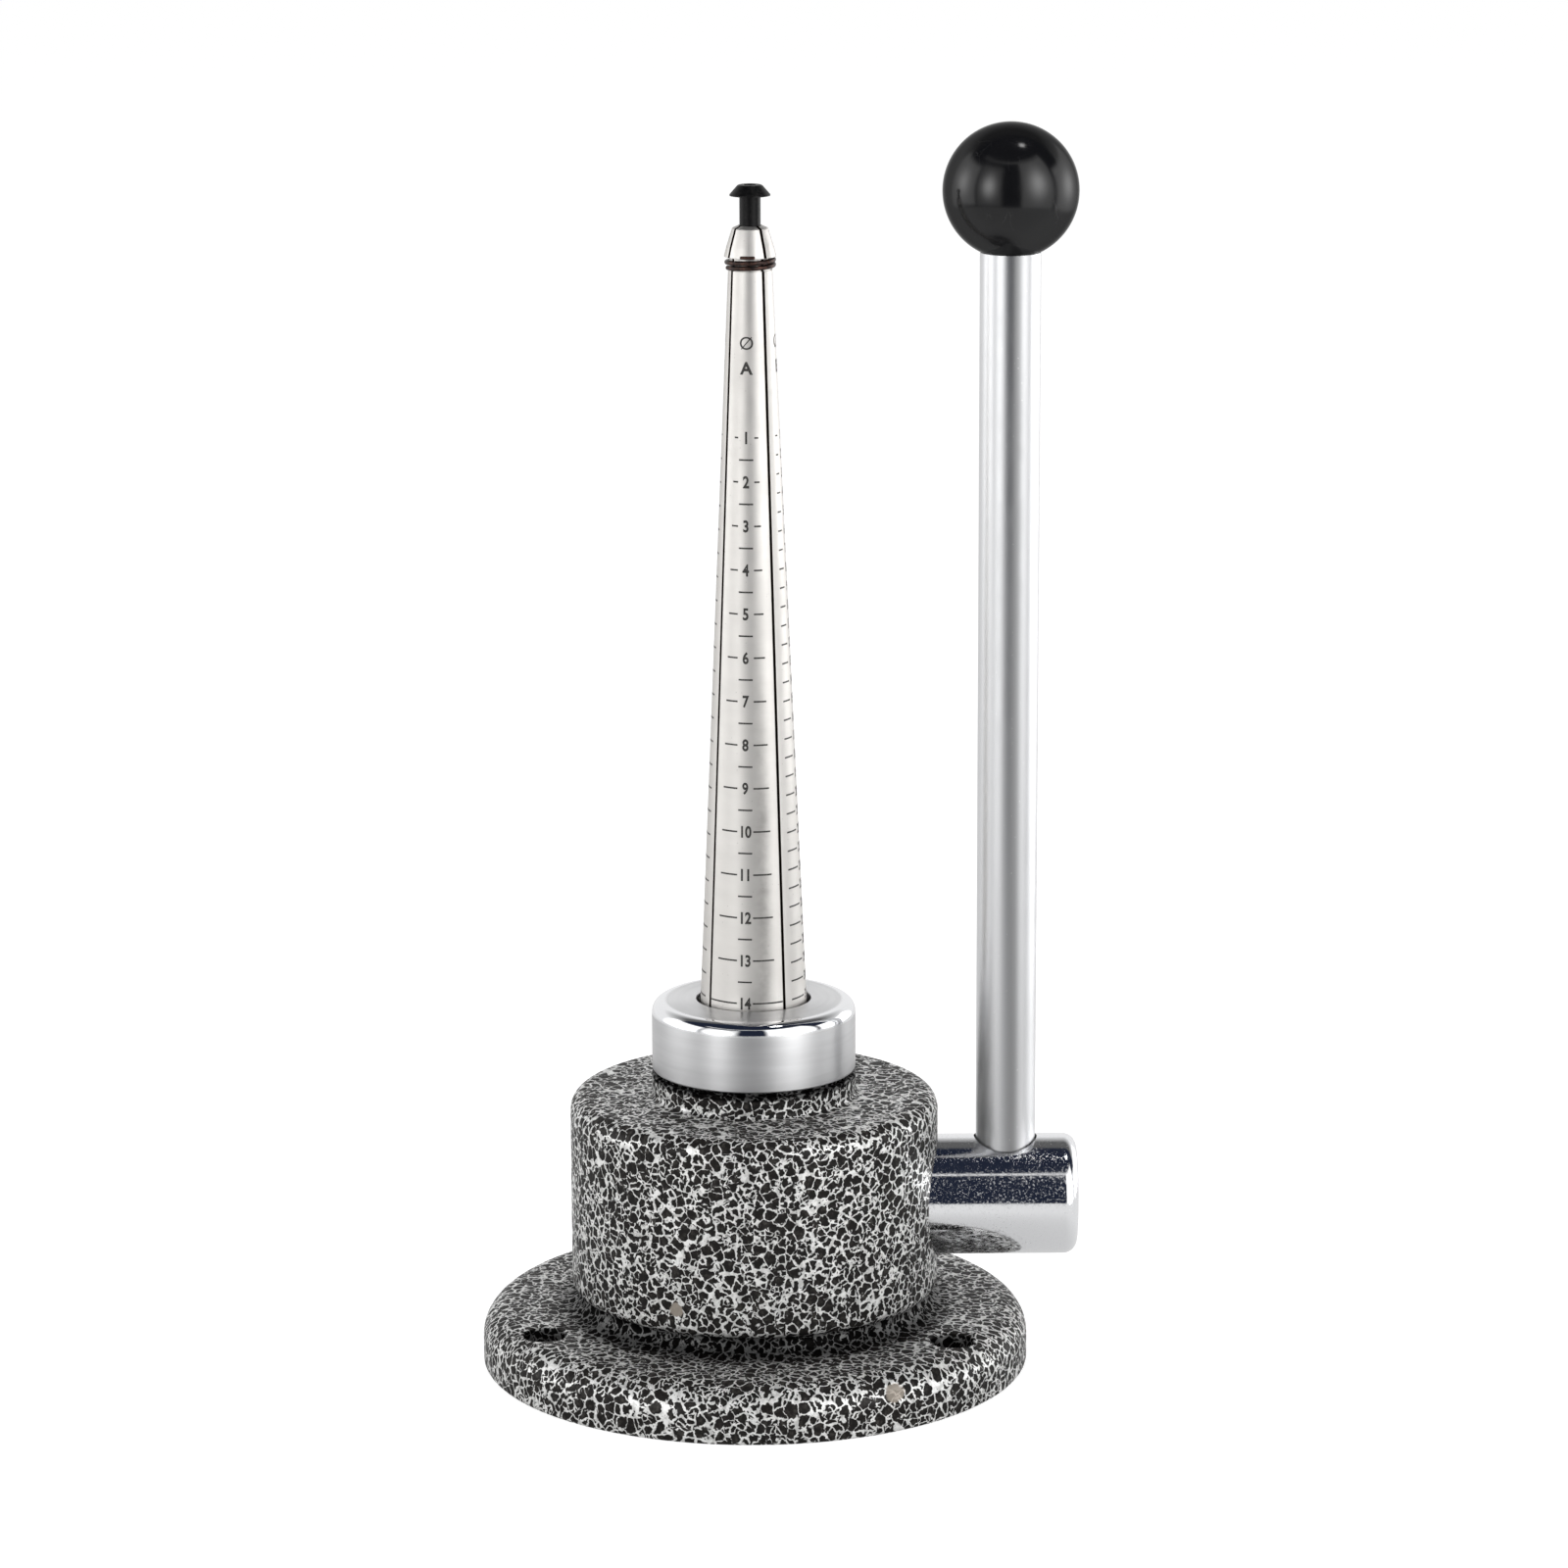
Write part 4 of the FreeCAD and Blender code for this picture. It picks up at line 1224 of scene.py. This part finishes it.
studio = {
    "floorSize": 16.0, "floorTone": 0.9, "floorGlow": 0.62, "floorLevel": 1.33, "floorDrop": 0.02,
    "ambient": 0.5,
    "lamps": (
        ("leftSoftbox", (-0.95, -0.85, 0.85), 0.9, 9.0), ("rightSoftbox", (1.0, -0.75, 0.75), 0.9, 7.0),
        ("topSoftbox", (0.05, 0.25, 1.35), 1.0, 5.0),
    ),
    "aim": (0.0, 0.0, 0.1),
}
# What bright metal mirrors. Azimuths run from the front towards the lever, heights up from the horizon.
surroundings = {
    "front": (0.015, 0.020, 0.038), "behind": (0.0, 0.3), "backdrop": 0.92, "ceiling": 0.12,
    "backdropTop": (19, 27), "backdropFade": (26, 48),
    "tableEdge": (0.68, 0.62), "tableShadow": (0.05, 0.14), "tableLevels": (0.6384, 0.84),
    "softboxes": (
        {"azimuth": (-120, -66), "height": (-18, 38), "level": 1.6, "heart": 3.0, "soft": 5},
        {"azimuth": (-63, -19), "height": (-20, 43), "level": 0.8, "heart": 6.0, "soft": 4},
        {"azimuth": (15, 75), "height": (-24, 54), "level": 1.35, "heart": 6.0, "soft": 4},
        {"azimuth": (81, 142), "height": (-24, 28), "level": 1.8, "heart": 4.5, "soft": 4},
    ),
    "strip": {"azimuth": (-75, 75), "height": (50.5, 54.5), "soft": (5, 0.7), "level": 0.8},
    "lamp": {"azimuth": 88.8, "height": 76.7, "size": 3.0, "level": 12.0},
}


def between(value, low, high, soft):
    return rise(value, low - soft, low + soft) * rise(value, high + soft, high - soft)


def addShader(tree, kind, **values):
    node = tree.nodes.new("ShaderNode" + kind)
    connect(node, **values)
    return Value(node.outputs[0])


def mixShaders(share, first, second):
    return Value(addNode("MixShader", {0: share, 1: first, 2: second}).outputs[0])


# The colour that bright metal mirrors from each way
def mirroredSky(way):
    look = SimpleNamespace(**surroundings)
    x, y, z = apart(way)
    azimuth = calculate("DEGREES", calculate("ARCTAN2", x, y * -1))
    height = calculate("DEGREES", calculate("ARCSINE", z))
    fromTop = calculate("DEGREES", calculate("ARCTAN2", y, z))
    behind = rise(y, *look.behind) * rise(fromTop, *look.backdropTop)
    back = spread(height, look.backdrop, look.ceiling, *look.backdropFade)
    sky = blendColours(behind, look.front, together(back, back, back))
    for box in look.softboxes:
        low, high = box["azimuth"]
        bottom, top = box["height"]
        across = (azimuth - (low + high) / 2) / ((high - low) / 4)
        up = (height - (bottom + top) / 2) / ((top - bottom) / 4)
        heart = calculate("EXPONENT", (across * across + up * up) * -1)
        level = heart * box["heart"] + box["level"]
        mask = between(azimuth, low, high, box["soft"]) * between(height, bottom, top, box["soft"])
        sky = blendColours(mask, sky, together(level, level, level))
    strip = look.strip
    aside, upwards = strip["soft"]
    mask = between(azimuth, *strip["azimuth"], aside) * between(height, *strip["height"], upwards)
    sky = blendColours(mask, sky, (strip["level"],) * 3)
    lamp = look.lamp
    turn, tilt = math.radians(lamp["azimuth"]), math.radians(lamp["height"])
    towards = (math.sin(turn) * math.cos(tilt), -math.cos(turn) * math.cos(tilt), math.sin(tilt))
    edge = [math.cos(math.radians(size)) for size in (1.3 * lamp["size"], lamp["size"])]
    return blendColours(rise(calculate("DOT_PRODUCT", way, towards), *edge), sky, (lamp["level"],) * 3)


def lightWorld():
    world = bpy.data.worlds.new("studio")
    bpy.context.scene.world = world
    world.use_nodes = True
    tree = world.node_tree
    tree.nodes.clear()
    way = Value(tree.nodes.new("ShaderNodeTexCoord").outputs["Generated"])
    mirrored = addShader(tree, "Background", Color=mirroredSky(way))
    paths = outputsOf(tree.nodes.new("ShaderNodeLightPath"))
    glow = spread(paths["Is Camera Ray"], studio["ambient"], 1.0)
    plain = addShader(tree, "Background", Color=(1, 1, 1), Strength=glow)
    mirrors = larger(paths["Is Glossy Ray"], paths["Is Transmission Ray"])
    feed(tree.nodes.new("ShaderNodeOutputWorld").inputs["Surface"], mixShaders(mirrors, plain, mirrored))


# A pale floor to the camera. Bright metal mirrors it as a table that ends in front of the tool.
def layFloor():
    look = SimpleNamespace(**surroundings)
    bm = bmesh.new()
    bmesh.ops.create_grid(bm, x_segments=1, y_segments=1, size=studio["floorSize"])
    floor = bare("floor", moved(bm, (0, 0, -studio["floorDrop"])))
    material = bpy.data.materials.new("paleFloor")
    material.use_nodes = True
    tree = material.node_tree
    tree.nodes.clear()
    paths = outputsOf(tree.nodes.new("ShaderNodeLightPath"))
    matt = addShader(tree, "BsdfDiffuse", Color=(studio["floorTone"],) * 3)
    glow = addShader(tree, "Emission", Strength=studio["floorLevel"])
    seen = mixShaders(paths["Is Camera Ray"] * studio["floorGlow"], matt, glow)
    place = objectPlace(tree)
    x, y, _ = apart(place)
    fromMiddle = calculate("LENGTH", together(x, calculate("MINIMUM", y, 0.0), 0.0))
    onTable = rise(fromMiddle, *look.tableEdge)
    shadow = rise(calculate("LENGTH", place), *look.tableShadow)
    lit = addShader(tree, "Emission", Strength=spread(shadow, *look.tableLevels))
    mirrored = mixShaders(onTable, addShader(tree, "BsdfTransparent"), lit)
    choice = mixShaders(paths["Is Glossy Ray"], seen, mirrored)
    feed(tree.nodes.new("ShaderNodeOutputMaterial").inputs["Surface"], choice)
    floor.data.materials.append(material)


def hangLamps():
    for name, place, size, power in studio["lamps"]:
        data = bpy.data.lights.new(name, "AREA")
        data.shape = "DISK"
        data.size = size
        data.energy = power
        lamp = bpy.data.objects.new(name, data)
        lamp.location = place
        lamp.rotation_euler = (Vector(studio["aim"]) - Vector(place)).to_track_quat("-Z", "Y").to_euler()
        lamp.visible_glossy = False
        bpy.context.scene.collection.objects.link(lamp)


camera = {
    "lens": 125.2, "place": (-0.0031, -1.1499, 0.39465), "down": 12.983, "aside": 0.493, "roll": -0.19,
}


def placeCamera():
    data = bpy.data.cameras.new("photoView")
    data.lens = camera["lens"]
    data.clip_start = 0.05
    data.clip_end = 50
    eye = bpy.data.objects.new("photoView", data)
    turn = Matrix.Rotation(math.radians(-camera["aside"]), 4, "Z")
    tilt = Matrix.Rotation(math.radians(90 - camera["down"]), 4, "X")
    roll = Matrix.Rotation(math.radians(camera["roll"]), 4, "Z")
    eye.matrix_world = Matrix.Translation(camera["place"]) @ turn @ tilt @ roll
    bpy.context.scene.collection.objects.link(eye)
    bpy.context.scene.camera = eye


lightWorld()
layFloor()
hangLamps()
placeCamera()
bpy.context.scene.view_settings.view_transform = "Standard"
print("studio set")
